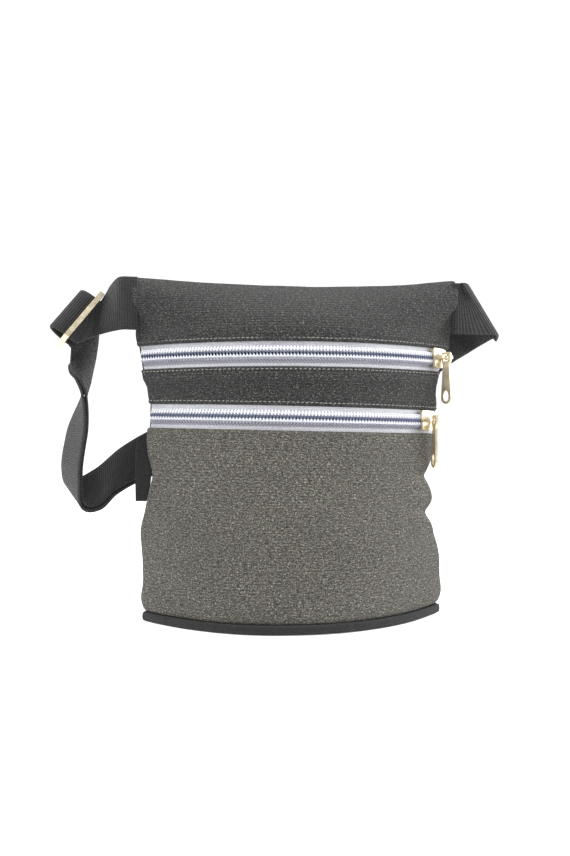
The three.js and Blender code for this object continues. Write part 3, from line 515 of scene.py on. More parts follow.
def repeated_piece(name, bodies, flats, faces, *rest):
    """Many small closed bodies that share their faces, as one piece"""
    size = len(bodies[0])
    every = [[size * k + i for i in face] for k in range(len(bodies)) for face in faces]
    mesh_piece(name, np.reshape(bodies, (-1, 3)), every, np.reshape(flats, (-1, 2)), *rest)


def tube_faces(rings, sides):
    """The faces of a run of rings with a cap at both ends"""
    faces = []
    for j in range(rings - 1):
        for i in range(sides):
            after = (i + 1) % sides
            faces.append((j * sides + i, j * sides + after, (j + 1) * sides + after, (j + 1) * sides + i))
    faces.append(tuple(reversed(range(sides))))
    faces.append(tuple((rings - 1) * sides + i for i in range(sides)))
    return faces


def turned_over(faces):
    """The same faces, seen from their other side"""
    return [face[:1] + face[:0:-1] for face in faces]


def grid_normals(grid):
    along = np.gradient(grid, axis=1)
    up = np.gradient(grid, axis=0)
    normal = np.cross(along, up)
    return normal / np.linalg.norm(normal, axis=-1, keepdims=True), along, up


def flat_map(grid):
    """Distances along and up the cloth, measured from the middle column and the first row."""
    along = np.linalg.norm(np.diff(grid, axis=1), axis=-1)
    u = np.concatenate([np.zeros((len(grid), 1)), np.cumsum(along, axis=1)], axis=1)
    u -= u[:, [grid.shape[1] // 2]]
    up = np.linalg.norm(np.diff(grid, axis=0), axis=-1).mean(axis=1)
    v = np.concatenate([[0], np.cumsum(up)])
    return np.stack([u, np.repeat(v[:, None], grid.shape[1], axis=1)], -1)


EDGE_STEPS = 4


def shell(outer, thickness):
    """A closed cloth of one thickness behind a grid of points, with rounded edges"""
    rows, columns = outer.shape[:2]
    normal, along, up = grid_normals(outer)
    along /= np.linalg.norm(along, axis=-1, keepdims=True)
    up /= np.linalg.norm(up, axis=-1, keepdims=True)
    flat = flat_map(outer)
    inner = outer - normal * thickness
    top, right = rows - 1, columns - 1
    border = [(0, i) for i in range(right)] + [(j, right) for j in range(top)]
    border += [(top, i) for i in range(right, 0, -1)] + [(j, 0) for j in range(top, 0, -1)]
    away = np.array([
        unit(up[j, i] * ((j == top) - (j == 0)) + along[j, i] * ((i == right) - (i == 0)))
        for j, i in border
    ])
    at = tuple(zip(*border))
    half = thickness / 2
    points = [outer.reshape(-1, 3), inner.reshape(-1, 3)]
    flats = [flat.reshape(-1, 2), flat.reshape(-1, 2)]
    for k in range(1, EDGE_STEPS):
        turn = math.pi * k / EDGE_STEPS
        points.append(outer[at] + normal[at] * half * (math.cos(turn) - 1) + away * half * math.sin(turn))
        flats.append(flat[at])
    size = rows * columns
    loops = [[j * columns + i for j, i in border]]
    loops += [[2 * size + k * len(border) + n for n in range(len(border))] for k in range(EDGE_STEPS - 1)]
    loops.append([size + first for first in loops[0]])
    front = [(a, a + 1, a + 1 + columns, a + columns)
             for j in range(top) for a in range(j * columns, j * columns + right)]
    faces = front + turned_over([tuple(size + k for k in face) for face in front])
    for near, far in zip(loops, loops[1:]):
        for n in range(len(border)):
            after = (n + 1) % len(border)
            faces.append((near[after], near[n], far[n], far[after]))
    return np.concatenate(points), faces, np.concatenate(flats)


def rows_between(low, high, count):
    return [low + (high - low) * j / count for j in range(count + 1)]


def cloth_piece(name, grid, thickness, material, slot, node, seam=0.0):
    """A closed cloth. Its flat map starts at the height seam."""
    points, faces, flat = shell(grid, thickness)
    flat[:, 1] += seam
    piece = mesh_piece(name, points, faces, flat, material, slot, node)
    patches = np.cross(grid[1:, 1:] - grid[:-1, :-1], grid[1:, :-1] - grid[:-1, 1:])


# Folds and puckers of the cloth, as heights in millimetres along its normal
def rumple(grid, size, seed):
    """Smooth chance unevenness from -1 to 1"""
    flat = grid.reshape(-1, 3)
    values = [noise.noise(Vector((p[0] / size, p[1] / size, p[2] / size + seed))) for p in flat]
    return np.array(values).reshape(grid.shape[:2])


def edge_distances(grid):
    """Each point's distance from the left and right seams, along its row"""
    along = np.linalg.norm(np.diff(grid, axis=1), axis=-1)
    from_left = np.concatenate([np.zeros((len(grid), 1)), np.cumsum(along, axis=1)], axis=1)
    return from_left, from_left[:, [-1]] - from_left


def fold(grid, start, end, width):
    """A soft ridge of height 1 along a line in the front view, fading towards its end"""
    x, z = grid[..., 0], grid[..., 2]
    run = np.array([end[0] - start[0], end[1] - start[1]], float)
    length = np.hypot(*run)
    run /= length
    along = (x - start[0]) * run[0] + (z - start[1]) * run[1]
    across = (x - start[0]) * run[1] - (z - start[1]) * run[0]
    share = np.clip(along / length, 0, 1)
    beyond = np.maximum(0, np.maximum(-along, along - length))
    spread = width * (1 + 0.8 * share)
    return np.exp(-(across / spread) ** 2 - (beyond / width) ** 2) * (1 - 0.85 * share)


def seam_roll(distance, depth, width):
    """How far the cloth turns in as it nears a seam"""
    return -depth * np.clip(1 - distance / width, 0, 1) ** 2


def seam_rolls(left, right, depth):
    return seam_roll(left, depth, SEAM_TURN) + seam_roll(right, depth, SEAM_TURN)


def side_puckers(grid, distance, seed, size, reach_in):
    """Short gathers that run in from a seam"""
    z = grid[..., 2]
    wave = np.sin(2 * math.pi * (z / size + 0.35 * np.sin(z / (1.7 * size) + seed)))
    return wave * np.exp(-distance / reach_in) * (1 - np.exp(-distance / 3))


def raised(grid, height):
    return grid + grid_normals(grid)[0] * height[..., None]


COLUMNS = 190
SEAM_TURN = 1.8
STITCH_SET = 1.9
# How far a cloth edge above a zip comes down over its tape
EDGE_EASE = 0.7
# How far the back's top edge stays below the front's
BACK_DROP = 2.2 * CLOTH
TOP_RISE = 1.8
CORNER_RISE = 0.8
FOOT_SPREAD = 1.5
FOOT_SKEW = 0.05
FOOT_FULLNESS = 2.2


def stood(points):
    """The foot stands a little skewed and full: forward at the left and in the middle."""
    x, y, z = np.moveaxis(points, -1, 0)
    full = FOOT_FULLNESS * np.maximum(0, 1 - ((x - 8) / 64) ** 2) * (y < 0)
    points[..., 1] += (1 - smooth(z, 4, 34)) * (FOOT_SKEW * np.minimum(x, 0) - full)
    return points


def lifted(grid):
    """The top edge eases up, most of all at its right corner, and the seams spread at the foot."""
    x, z = grid[..., 0], grid[..., 2]
    rise = TOP_RISE + CORNER_RISE * np.exp(-((x - HALF_WIDTH) / 15) ** 2)
    spread = FOOT_SPREAD * smooth(np.abs(x), 50, 72) * np.exp(-((z - 10) / 6) ** 2)
    grid[..., 2] += rise * smooth(z, BAG_HEIGHT - 20, BAG_HEIGHT)
    grid[..., 0] += np.sign(x) * spread
    return stood(grid)


def front_cloth(low, high, rows, low_room=CLOTH / 2, high_room=CLOTH / 2):
    """The points of a front cloth, with each one's height on the cloth and distances from the seams"""
    shares = rows_between(0, 1, COLUMNS)
    heights = rows_between(low + low_room, high - high_room, rows)
    grid = lifted(settled(np.array([front_row(z, shares, 0) for z in heights])))
    tall = np.repeat(np.linspace(low, high, rows + 1)[:, None], COLUMNS + 1, axis=1)
    return (grid, tall, *edge_distances(grid))


def hem(tall, edge, side):
    """The turned hem at an edge: a soft lip, and a dimple along its line of stitches"""
    distance = side * (tall - edge)
    lip = 0.2 * np.exp(-((distance - 0.9) / 0.6) ** 2) - 0.5 * np.clip(1 - distance / 1.3, 0, 1) ** 2
    dimple = -0.22 * np.exp(-((distance - STITCH_SET) / 0.5) ** 2)
    step = 0.3 * (1 - smooth(distance, 6.0, 7.6))
    return lip + dimple + step - 0.3


def top_front_panel():
    low = band_edge(UPPER_ZIP, 1) - EDGE_EASE
    grid, tall, left, right = front_cloth(low, BAG_HEIGHT, 74, high_room=0)
    relief = 0.3 * rumple(grid, 26, 1) + 0.1 * rumple(grid, 7, 2) + hem(tall, low, 1)
    relief += seam_rolls(left, right, 0.25) + seam_roll(BAG_HEIGHT - tall, 0.3, 1.5)
    relief += 0.12 * side_puckers(grid, left, 1, 9, 12) + 0.12 * side_puckers(grid, right, 2, 8, 12)
    cloth_piece("top_cloth", raised(grid, relief), CLOTH, CHARCOAL, "charcoal", "top_front_panel")


def middle_front_band():
    low, high = band_edge(LOWER_ZIP, 1) - EDGE_EASE, band_edge(UPPER_ZIP, -1)
    grid, tall, left, right = front_cloth(low, high, 50)
    relief = 0.22 * rumple(grid, 20, 3) + 0.08 * rumple(grid, 6, 4)
    relief += hem(tall, low, 1) + hem(tall, high, -1) + seam_rolls(left, right, 0.25)
    cloth_piece("band_cloth", raised(grid, relief), CLOTH, CHARCOAL, "charcoal", "middle_front_band")


# The folds of the lower panel, each with its height, where it starts and ends, and its width. Five run
# out of the two gathers at the right seam, and two from where the left seam is drawn in.
LOWER_FOLDS = [
    (-1.5, (63, 49), (44, 58), 2.2), (1.1, (66, 43), (46, 55), 3.4), (0.7, (64, 55), (48, 62), 3.6),
    (-1.0, (62.5, 66.5), (45, 71), 1.9), (0.6, (64, 62), (46, 66), 3.0),
    (-0.7, (-67, 67), (-46, 62), 4.0), (0.5, (-70, 42), (-50, 48), 5.0),
]


def lower_front_panel():
    low, high = SEAM_HEIGHT, band_edge(LOWER_ZIP, -1)
    grid, tall, left, right = front_cloth(low, high, 150, low_room=0)
    relief = 0.55 * rumple(grid, 30, 5) + 0.16 * rumple(grid, 10, 6) + 0.05 * rumple(grid, 4, 7)
    relief += hem(tall, high, -1) + seam_rolls(left, right, 0.3) + seam_roll(tall - low, 0.7, 2.4)
    relief += 0.2 * side_puckers(grid, left, 3, 11, 14) + 0.25 * side_puckers(grid, right, 4, 9, 14)
    relief += 0.1 * side_puckers(grid, right, 5, 5, 7)
    for height, start, end, width in LOWER_FOLDS:
        relief += height * fold(grid, start, end, width)
    cloth_piece("lower_cloth", raised(grid, relief), CLOTH, TAUPE, "taupe", "lower_front_panel")


def back_panel():
    heights = rows_between(SEAM_HEIGHT, BAG_HEIGHT - BACK_DROP, 180)
    shares = rows_between(1, 0, COLUMNS)
    grid = lifted(settled(np.array([back_row(z, shares, 0) for z in heights])))
    first, last = edge_distances(grid)
    tall = np.repeat(np.array(heights)[:, None], COLUMNS + 1, axis=1)
    relief = 0.8 * rumple(grid, 34, 8) + 0.2 * rumple(grid, 11, 9) + seam_rolls(first, last, 0.5)
    relief += 0.3 * side_puckers(grid, first, 6, 10, 14) + 0.3 * side_puckers(grid, last, 7, 12, 14)
    relief += seam_roll(BAG_HEIGHT - tall, 1.2, 5.0) + seam_roll(tall - SEAM_HEIGHT, 0.9, 3.0)
    relief = np.minimum(relief, 0.6)
    cloth_piece("back_cloth", raised(grid, relief), CLOTH, BLACK_CLOTH, "black_cloth", "back_panel")


def base_panel():
    """The base: a shallow cloth tray that turns under to a flat foot"""
    inset = 0.5 / COLUMNS
    shares = rows_between(inset, 1 - inset, COLUMNS)
    rim = stood(np.concatenate([
        front_row(SEAM_HEIGHT, shares, 0),
        back_row(SEAM_HEIGHT, shares[::-1], 0),
    ]))
    middle = vec(0, (rim[COLUMNS // 2, 1] + rim[-COLUMNS // 2, 1]) / 2, 0)
    out = (rim - middle) * vec(1, 1, 0)
    length = np.linalg.norm(out, axis=1, keepdims=True)
    bulge = np.array([noise.noise(Vector((p[0] / 14, p[1] / 14, 3.0))) for p in rim])
    puckers = np.array([noise.noise(Vector((p[0] / 4, p[1] / 4, 9.0))) for p in rim])
    corner = np.exp(-((rim[:, 0] + 68) / 16) ** 2)
    swell = (0.45 * bulge + 0.16 * puckers + 0.3 * corner + 1.1)[:, None]

    # Each ring is a depth inside the rim, a height, and how much of the swell it has.
    top = SEAM_HEIGHT - CLOTH_GAP
    outer = [(0.8, top, 0.5), (0.35, top * 0.95, 1), (0.15, top * 0.82, 1), (0, top * 0.55, 1),
             (0.05, top * 0.3, 1), (0.3, top * 0.12, 1), (0.9, top * 0.02, 1), (FOOT_INSET, 0, 1)]
    inner = [(FOOT_INSET + CLOTH, CLOTH, 0), (FOOT_INSET / 4 + CLOTH, CLOTH + top / 6, 0),
             (CLOTH + 0.6, top, 0)]
    rings = [middle + out / length * (length - depth + fullness * swell) + vec(0, 0, z)
             for depth, z, fullness in outer + inner]
    count = len(rim)
    points = np.concatenate(rings + [[middle], [middle + vec(0, 0, CLOTH)]])
    foot, floor = len(points) - 2, len(points) - 1
    last = len(outer) - 1
    faces = []
    for i in range(count):
        after = (i + 1) % count
        for j in range(len(rings)):
            here, there = j * count, (j + 1) % len(rings) * count
            if j == last:
                faces.append((here + i, foot, here + after))
                faces.append((there + after, floor, there + i))
            else:
                faces.append((here + i, there + i, there + after, here + after))
    run = np.concatenate([[0], np.cumsum(np.linalg.norm(np.diff(rim, axis=0), axis=1))])
    flat = np.concatenate([np.stack([run, np.full(count, -2.0 * j)], -1) for j in range(len(rings))]
                          + [[(0, -20)], [(0, -40)]])
    under = np.abs(points[:, 2]) < 0.01
    flat[under] = points[under][:, :2]
    mesh_piece("base_cloth", points, faces, flat, BLACK_CLOTH, "black_cloth", "base_panel")


DIVIDER_BEND = LOWER_ZIP.height + BAND_HALF
DIVIDER_TOP = band_edge(UPPER_ZIP, -1) - TAPE_HALF + BAND_HALF - DIVIDER_LIFT


def divider_row(z, shares):
    """The cloth wall between the pocket and the main room, at its front face."""
    left, right = front_row(z, [0, 1], CLOTH)
    share = np.asarray(shares, float)
    x = left[0] + DIVIDER_INSET + (right[0] - left[0] - 2 * DIVIDER_INSET) * share
    bulge, radius = front_at(z)
    front = radius - bulge - np.sqrt((radius - CLOTH) ** 2 - x * x) + CLOTH_GAP + DIVIDER_CLOTH / 2
    back = back_row(z, (x - left[0]) / (right[0] - left[0]), CLOTH)[:, 1]
    depth = DIVIDER_DEPTH_SHARE * (1 - smooth(z, DIVIDER_BEND, DIVIDER_TOP))
    y = front + (back - front) * depth - DIVIDER_CLOTH / 2
    return np.stack([x, y, np.full(x.shape, z)], -1)


def pocket_divider():
    half = DIVIDER_CLOTH / 2
    heights = rows_between(DIVIDER_LIFT + SEAM_HEIGHT + half, DIVIDER_TOP - half, 60)
    shares = rows_between(0.004, 0.996, 80)
    grid = settled(np.array([divider_row(z, shares) for z in heights]))
    ease = smooth(np.array(heights), DIVIDER_BEND - 30, DIVIDER_BEND)[:, None]
    relief = (1 - ease) * (0.8 * rumple(grid, 24, 10) + 0.2 * rumple(grid, 9, 11))
    cloth_piece("divider_cloth", raised(grid, relief), DIVIDER_CLOTH, BLACK_CLOTH, "black_cloth",
                "pocket_divider")


# The zips
def zip_angles(zip_line, up, count):
    z = zip_line.height + up * math.cos(zip_line.lean)
    left = -angle_to_edge(LEFT_EDGE_SHARES, z, TAPE_END)
    right = angle_to_edge(RIGHT_EDGE_SHARES, z, TAPE_END)
    return np.array(rows_between(left, right, count))


def zip_tape(zip_line, label, side):
    ups = rows_between(SLOT_HALF + TAPE / 2, TAPE_HALF - TAPE / 2, 14)
    if side < 0:
        ups = ups[::-1]
    grid = np.array([zip_points(zip_line, zip_angles(zip_line, side * up, 160), side * up, TAPE_OUT)
                     for up in ups])
    cloth_piece(f"{zip_line.name}_tape_{label}", grid, TAPE, TAPE_CLOTH, "zip_tape",
                f"{zip_line.name}_zip_tape_{label}", seam=ups[0] * side)


# A tooth in its own section: each row is a distance from the middle of the zip, a height
# above the cloth and a half thickness.
TOOTH_ROWS = [
    (2.30, -1.12, 0.28), (2.62, -0.92, 0.34), (2.74, -0.45, 0.36), (2.62, 0.02, 0.36), (2.25, 0.32, 0.36),
    (1.70, 0.42, 0.34), (1.05, 0.42, 0.33), (0.50, 0.38, 0.36), (0.00, 0.28, 0.44), (-0.38, 0.02, 0.46),
    (-0.50, -0.38, 0.42), (-0.30, -0.80, 0.30),
]
TOOTH_SIDES = 8
TOOTH_SLANT = 0.12
TEETH_UP = 1.5
COIL_STITCH_UP = 1.78
COIL_STITCH_OUT = 0.6


BEAD_RINGS = 5
BEAD_SIDES = 8
BEAD_FACES = tube_faces(BEAD_RINGS, BEAD_SIDES)


def bead(along, across, high, turn):
    """The points of a small rounded stitch, long along X and turned in its plane"""
    pole = math.pi * (np.arange(BEAD_RINGS)[:, None] + 0.5) / BEAD_RINGS
    angle = 2 * math.pi * np.arange(BEAD_SIDES) / BEAD_SIDES
    size = np.sin(pole) ** 0.7
    x = -along * np.cos(pole)
    y = across * size * np.cos(angle)
    return np.stack([
        x * math.cos(turn) - y * math.sin(turn),
        x * math.sin(turn) + y * math.cos(turn),
        high * size * np.sin(angle),
    ], -1).reshape(-1, 3)


def coil_teeth(zip_line, label, side):
    """One coil: its turns seen as single teeth, and the row of stitches that holds it"""
    angles = zip_angles(zip_line, side * TEETH_UP, 1)
    count = int((angles[1] - angles[0]) * ZIP_RADIUS / TOOTH_PITCH) - 1
    # The teeth of the two coils stand by turns.
    first = 0.75 + 0.5 * (side > 0)
    starts = angles[0] + (np.arange(count)[:, None] + first) * TOOTH_PITCH / ZIP_RADIUS
    rows = np.array(TOOTH_ROWS)
    run = np.gradient(rows[:, :2], axis=0)
    run /= np.linalg.norm(run, axis=1, keepdims=True)
    up, out, half, run_up, run_out = np.hstack([rows, run]).T[..., None]
    turn = side * 2 * math.pi * np.arange(TOOTH_SIDES) / TOOTH_SIDES
    swing = half * np.sin(turn)
    along = (TOOTH_SLANT * (up - 1) + np.minimum(half, TOOTH_HALF) * np.cos(turn)).ravel()
    across = side * (up - run_out * swing).ravel()
    teeth = zip_points(zip_line, starts + along / ZIP_RADIUS, across, (out + run_up * swing).ravel())
    flats = np.stack(np.broadcast_arrays(starts * ZIP_RADIUS + along, across), -1)
    faces = turned_over(tube_faces(len(rows), TOOTH_SIDES))
    repeated_piece(f"{zip_line.name}_coil_{label}", teeth, flats, faces, COIL_PLASTIC, "zip_coil",
                   f"{zip_line.name}_zip_coil_{label}")

    stitch = bead(0.66, 0.34, 0.25, math.radians(-24))
    stitches = zip_points(zip_line, starts + (TOOTH_PITCH / 2 + stitch[:, 0]) / ZIP_RADIUS,
                          side * COIL_STITCH_UP + stitch[:, 1], COIL_STITCH_OUT + stitch[:, 2])
    repeated_piece(f"{zip_line.name}_coil_stitches_{label}", stitches, [stitch[:, :2]] * count, BEAD_FACES,
                   WHITE_THREAD, "zip_coil")


SEAM_PITCH = 2.1
SEAM_STITCH = 1.4


def topstitch(name, zip_line, side):
    """A row of single stitches along a cloth edge beside a zip"""
    up = side * (BAND_HALF + STITCH_SET) - (EDGE_EASE if side > 0 else 0)
    angles = zip_angles(zip_line, up, 1)
    count = int((angles[1] - angles[0]) * ZIP_RADIUS / SEAM_PITCH)
    bodies = []
    flats = []
    for k in range(count):
        middle = angles[0] + (k + 0.5) * SEAM_PITCH / ZIP_RADIUS
        wobble = 0.12 * noise.noise(Vector((k * 0.37, side, zip_line.height)))
        tilt = math.radians(5 + 6 * noise.noise(Vector((k * 0.9, side, zip_line.height))))
        half = SEAM_STITCH / 2 * (1 + 0.2 * noise.noise(Vector((k * 1.7, side, 4.0))))
        stitch = bead(half, 0.17, 0.18, tilt)
        bodies.append(zip_points(zip_line, middle + stitch[:, 0] / ZIP_RADIUS,
                                 up + wobble + stitch[:, 1], 0.02 + stitch[:, 2]))
        flats.append(stitch[:, :2])
    repeated_piece(name, bodies, flats, BEAD_FACES, PALE_THREAD, "taupe")


# Webbing
def catmull(points, share):
    """A point of a smooth centripetal curve through points, share running from 0 to 1"""
    last = len(points) - 1
    place = share * last
    i = min(int(place), last - 1)
    t = place - i
    p1, p2 = points[i], points[i + 1]
    p0 = points[i - 1] if i > 0 else 2 * points[0] - points[1]
    p3 = points[i + 2] if i + 2 <= last else 2 * points[last] - points[last - 1]
    d1 = max(np.linalg.norm(p2 - p1) ** 0.5, 1e-4)
    d0 = np.linalg.norm(p1 - p0) ** 0.5
    d2 = np.linalg.norm(p3 - p2) ** 0.5
    d0 = d0 if d0 > 1e-4 else d1
    d2 = d2 if d2 > 1e-4 else d1
    t1 = ((p1 - p0) / d0 - (p2 - p0) / (d0 + d1) + (p2 - p1) / d1) * d1
    t2 = ((p2 - p1) / d1 - (p3 - p1) / (d1 + d2) + (p3 - p2) / d2) * d1
    return p1 + t1 * t + (-3 * p1 + 3 * p2 - 2 * t1 - t2) * t * t + (2 * p1 - 2 * p2 + t1 + t2) * t ** 3


def standing(at, width):
    return SimpleNamespace(at=at, width=width)


def toward(x, y, z):
    return unit(vec(x, y, z))


STRAP_STEP = 2.0


def refined(stations):
    """Stations about STRAP_STEP apart on a smooth curve through the given ones"""
    places = [s.at for s in stations]
    widths = [s.width for s in stations]
    fine = []
    for i in range(len(stations) - 1):
        gap = np.linalg.norm(places[i] - places[i + 1])
        count = max(1, round(gap / STRAP_STEP))
        for k in range(count):
            share = (i + k / count) / (len(stations) - 1)
            fine.append(standing(catmull(places, share), unit(catmull(widths, share))))
    fine.append(stations[-1])
    return fine


def with_normals(stations):
    """Each station with the direction out of the webbing's face, its slant and its distance along"""
    found = []
    run = 0
    for i, s in enumerate(stations):
        before = stations[max(i - 1, 0)].at
        after = stations[min(i + 1, len(stations) - 1)].at
        if i > 0:
            run += np.linalg.norm(s.at - before)
        normal = np.cross(unit(after - before), s.width)
        size = np.linalg.norm(normal)
        found.append(SimpleNamespace(
            at=s.at, width=s.width, normal=normal / size, slant=1 / size, run=run,
        ))
    return found


SECTION_STEPS = 10
CORNER_STEPS = 3


def webbing_section():
    """A flat section with rounded edges, as distances across and out"""
    half = WEBBING / 2
    flat_half = WEBBING_WIDTH / 2 - half
    section = []
    for side in (1, -1):
        section += [(side * x, -side * half) for x in rows_between(-flat_half, flat_half, SECTION_STEPS)]
        for k in range(1, CORNER_STEPS):
            turn = math.pi * k / CORNER_STEPS
            section.append((side * (flat_half + half * math.sin(turn)), -side * half * math.cos(turn)))
    return section


def webbing_piece(name, stations, *nodes, slanted=False):
    """A length of webbing through close stations"""
    section = webbing_section()
    points = []
    flat = []
    for s in with_normals(stations):
        stretch = s.slant if slanted else 1
        points += [s.at + s.width * across * stretch + s.normal * out for across, out in section]
        flat += [(s.run, across) for across, out in section]
    faces = tube_faces(len(stations), len(section))
    mesh_piece(name, points, faces, flat, WEBBING_CLOTH, "webbing", *nodes)


def seam_root(share, x):
    return vec(x, front_row(STRAP_HEIGHT, [share], CLOTH)[0, 1] + CLOTH_GAP / 2, STRAP_HEIGHT)


LEFT_ROOT = seam_root(0, -reach(LEFT_EDGE_SHARES, STRAP_HEIGHT) - CLOTH_GAP)
RIGHT_ROOT = seam_root(1, reach(RIGHT_EDGE_SHARES, STRAP_HEIGHT) + CLOTH_GAP)


def beside_bag(x_share, y_share, z_share):
    """A place beside the bag, as shares of the strap's hang from its root"""
    return LEFT_ROOT + vec(x_share, y_share, z_share) * STRAP_HANG


def behind_bag(x_share, drop_share, gap_share):
    """A place behind the bag: shares of its half width, of the strap's hang down and out"""
    x = HALF_WIDTH * x_share
    z = STRAP_HEIGHT - STRAP_HANG * drop_share
    left, right = front_row(z, [0, 1], CLOTH)[:, 0]
    back = back_row(z, [(x - left) / (right - left)], 0)[0, 1]
    return vec(x, back + STRAP_HANG * gap_share, z)


GLIDE_BARS = unit(vec(0.49, 0.42, 0.764))
GLIDE_LEAN = vec(-0.76, -0.22, 0.61)
GLIDE_OUT = unit(GLIDE_LEAN - GLIDE_BARS * (GLIDE_LEAN @ GLIDE_BARS))
GLIDE_BACK = unit(np.cross(GLIDE_OUT, GLIDE_BARS))
GLIDE_AT = beside_bag(-0.285, 0.077, -0.08)
RING_RUN = unit(vec(0.69, -0.41, 0.6))
RING_BARS = unit(vec(-0.656, 0, 0.755))
RING_OUT = unit(np.cross(RING_RUN, RING_BARS))
RING_SQUARE = unit(np.cross(RING_OUT, RING_RUN))
RING_AT = behind_bag(0.75, 0.324, 0.207)
LOOP_RADIUS = math.sqrt(2) * WIRE_RADIUS + FIT_GAP + WEBBING / 2


def glide_point(back, out):
    return GLIDE_AT + GLIDE_BACK * back + GLIDE_OUT * out


def ring_point(run, out):
    return RING_AT + RING_RUN * run + RING_OUT * out


def wrapped(middle, start, top, radius, rise, width, steps=20):
    return [standing(middle + start * radius * math.cos(math.pi * k / steps)
                     + top * rise * math.sin(math.pi * k / steps), width) for k in range(steps + 1)]


def folded(place, run, axis, radius, turn, steps=24):
    slide = float(run @ axis)
    across = run - axis * slide
    pace = np.linalg.norm(across)
    across = across / pace
    inward = np.cross(axis, across)
    return [standing(place + across * radius * math.sin(a) + inward * radius * (1 - math.cos(a))
                     + axis * (slide * radius * a / pace), axis)
            for a in rows_between(0, turn, steps)]


DOUBLED = [
    standing(glide_point(SLOT_PLACE, -WIRE_RADIUS), GLIDE_BARS),
    standing(glide_point(SLOT_PLACE, -DOUBLED_THICK), GLIDE_BARS),
    standing(beside_bag(-0.261, 0.117, -0.127), GLIDE_BARS),
    standing(beside_bag(-0.273, 0.125, -0.198), toward(0.47, 0.42, 0.76)),
    standing(beside_bag(-0.274, 0.12, -0.278), toward(0.36, 0.7, 0.6)),
    standing(beside_bag(-0.267, 0.097, -0.381), toward(0.06, 0.97, 0.22)),
    standing(beside_bag(-0.265, 0.08, -0.485), toward(-0.18, 0.98, 0.03)),
    standing(beside_bag(-0.299, 0.068, -0.679), toward(-0.5, 0.87, 0)),
    standing(beside_bag(-0.328, 0.062, -0.9), toward(-0.5, 0.84, 0.12)),
    standing(beside_bag(-0.305, 0.068, -1.03), toward(-0.42, 0.82, 0.36)),
    standing(beside_bag(-0.196, 0.091, -1), toward(-0.2, 0.74, 0.62)),
    standing(beside_bag(-0.087, 0.125, -0.903), toward(0, 0.62, 0.78)),
    standing(beside_bag(0.05, 0.188, -0.822), toward(0.05, 0.5, 0.86)),
    standing(behind_bag(-0.625, 0.725, 0.234), toward(-0.08, 0.3, 0.95)),
    standing(behind_bag(-0.25, 0.633, 0.298), toward(-0.22, 0.12, 0.96)),
    standing(behind_bag(0.15, 0.542, 0.324), toward(-0.32, 0.02, 0.94)),
    standing(behind_bag(0.475, 0.45, 0.318), toward(-0.45, 0, 0.88)),
    standing(ring_point(-RING_HEIGHT / 2 - LOOP_RISE, 0), RING_SQUARE),
    standing(ring_point(-RING_HEIGHT / 2 + WIRE_RADIUS, 0), RING_SQUARE),
]
SECOND_START = 12
LAYER_SLIP = 1.6


def strap_layers():
    """The doubled part as two layers, each a run of stations"""
    middle = with_normals(refined(DOUBLED))
    total = middle[-1].run
    half = DOUBLED_PITCH / 2
    merge = total - STITCHED_END
    first = []
    second = []
    for s in middle:
        apart = half * float(smooth(s.run, 4, SECOND_START) * (1 - smooth(s.run, merge - 4, merge)))
        ring_side = LOOP_RADIUS * float(smooth(s.run, merge, total))
        slip = LAYER_SLIP * float(smooth(s.run, 20, 50) * (1 - smooth(s.run, merge - 60, merge - 10)))
        first.append(standing(s.at + s.normal * (apart + ring_side) + s.width * slip / 2, s.width))
        if SECOND_START <= s.run <= merge - 4:
            second.append(standing(s.at - s.normal * apart - s.width * slip / 2, s.width))
    end = [s for s in middle if s.run > merge + 2]
    back = [standing(s.at - s.normal * LOOP_RADIUS * float(smooth(s.run, merge, total)), s.width)
            for s in end][::-1]
    return first, second, back


def long_strap():
    stub = refined([
        standing(LEFT_ROOT + vec(ROOT_HIDDEN, 0, 0), toward(0, 0, 1)),
        standing(LEFT_ROOT, toward(0, 0, 1)),
        standing(beside_bag(-0.06, 0.004, 0), toward(0, 0, 1)),
        standing(beside_bag(-0.167, 0.09, -0.03), toward(0.22, 0.18, 0.95)),
        standing(glide_point(-SLOT_PLACE, -SLOT_PLACE), toward(0.4, 0.34, 0.85)),
        standing(glide_point(-SLOT_PLACE, -WIRE_RADIUS), GLIDE_BARS),
    ])
    first, second, back = strap_layers()
    ring_bar = ring_point(-RING_HEIGHT / 2 + WIRE_RADIUS, 0)
    outside = unit(first[-1].at - ring_bar)
    stations = stub
    stations += wrapped(glide_point(0, 0), -GLIDE_BACK, GLIDE_OUT, SLOT_PLACE, LOOP_RISE, GLIDE_BARS)
    stations += first
    stations += wrapped(ring_bar, outside, RING_RUN, LOOP_RADIUS, LOOP_RADIUS, RING_SQUARE)[1:-1]
    stations += back
    webbing_piece("strap_webbing", stations, "long_strap")
    webbing_piece("strap_second_layer", second)
    crossed_box(first)


BOX_START, BOX_END, BOX_HALF = 13, 36, 9.5
STRAP_STITCH = 2.3


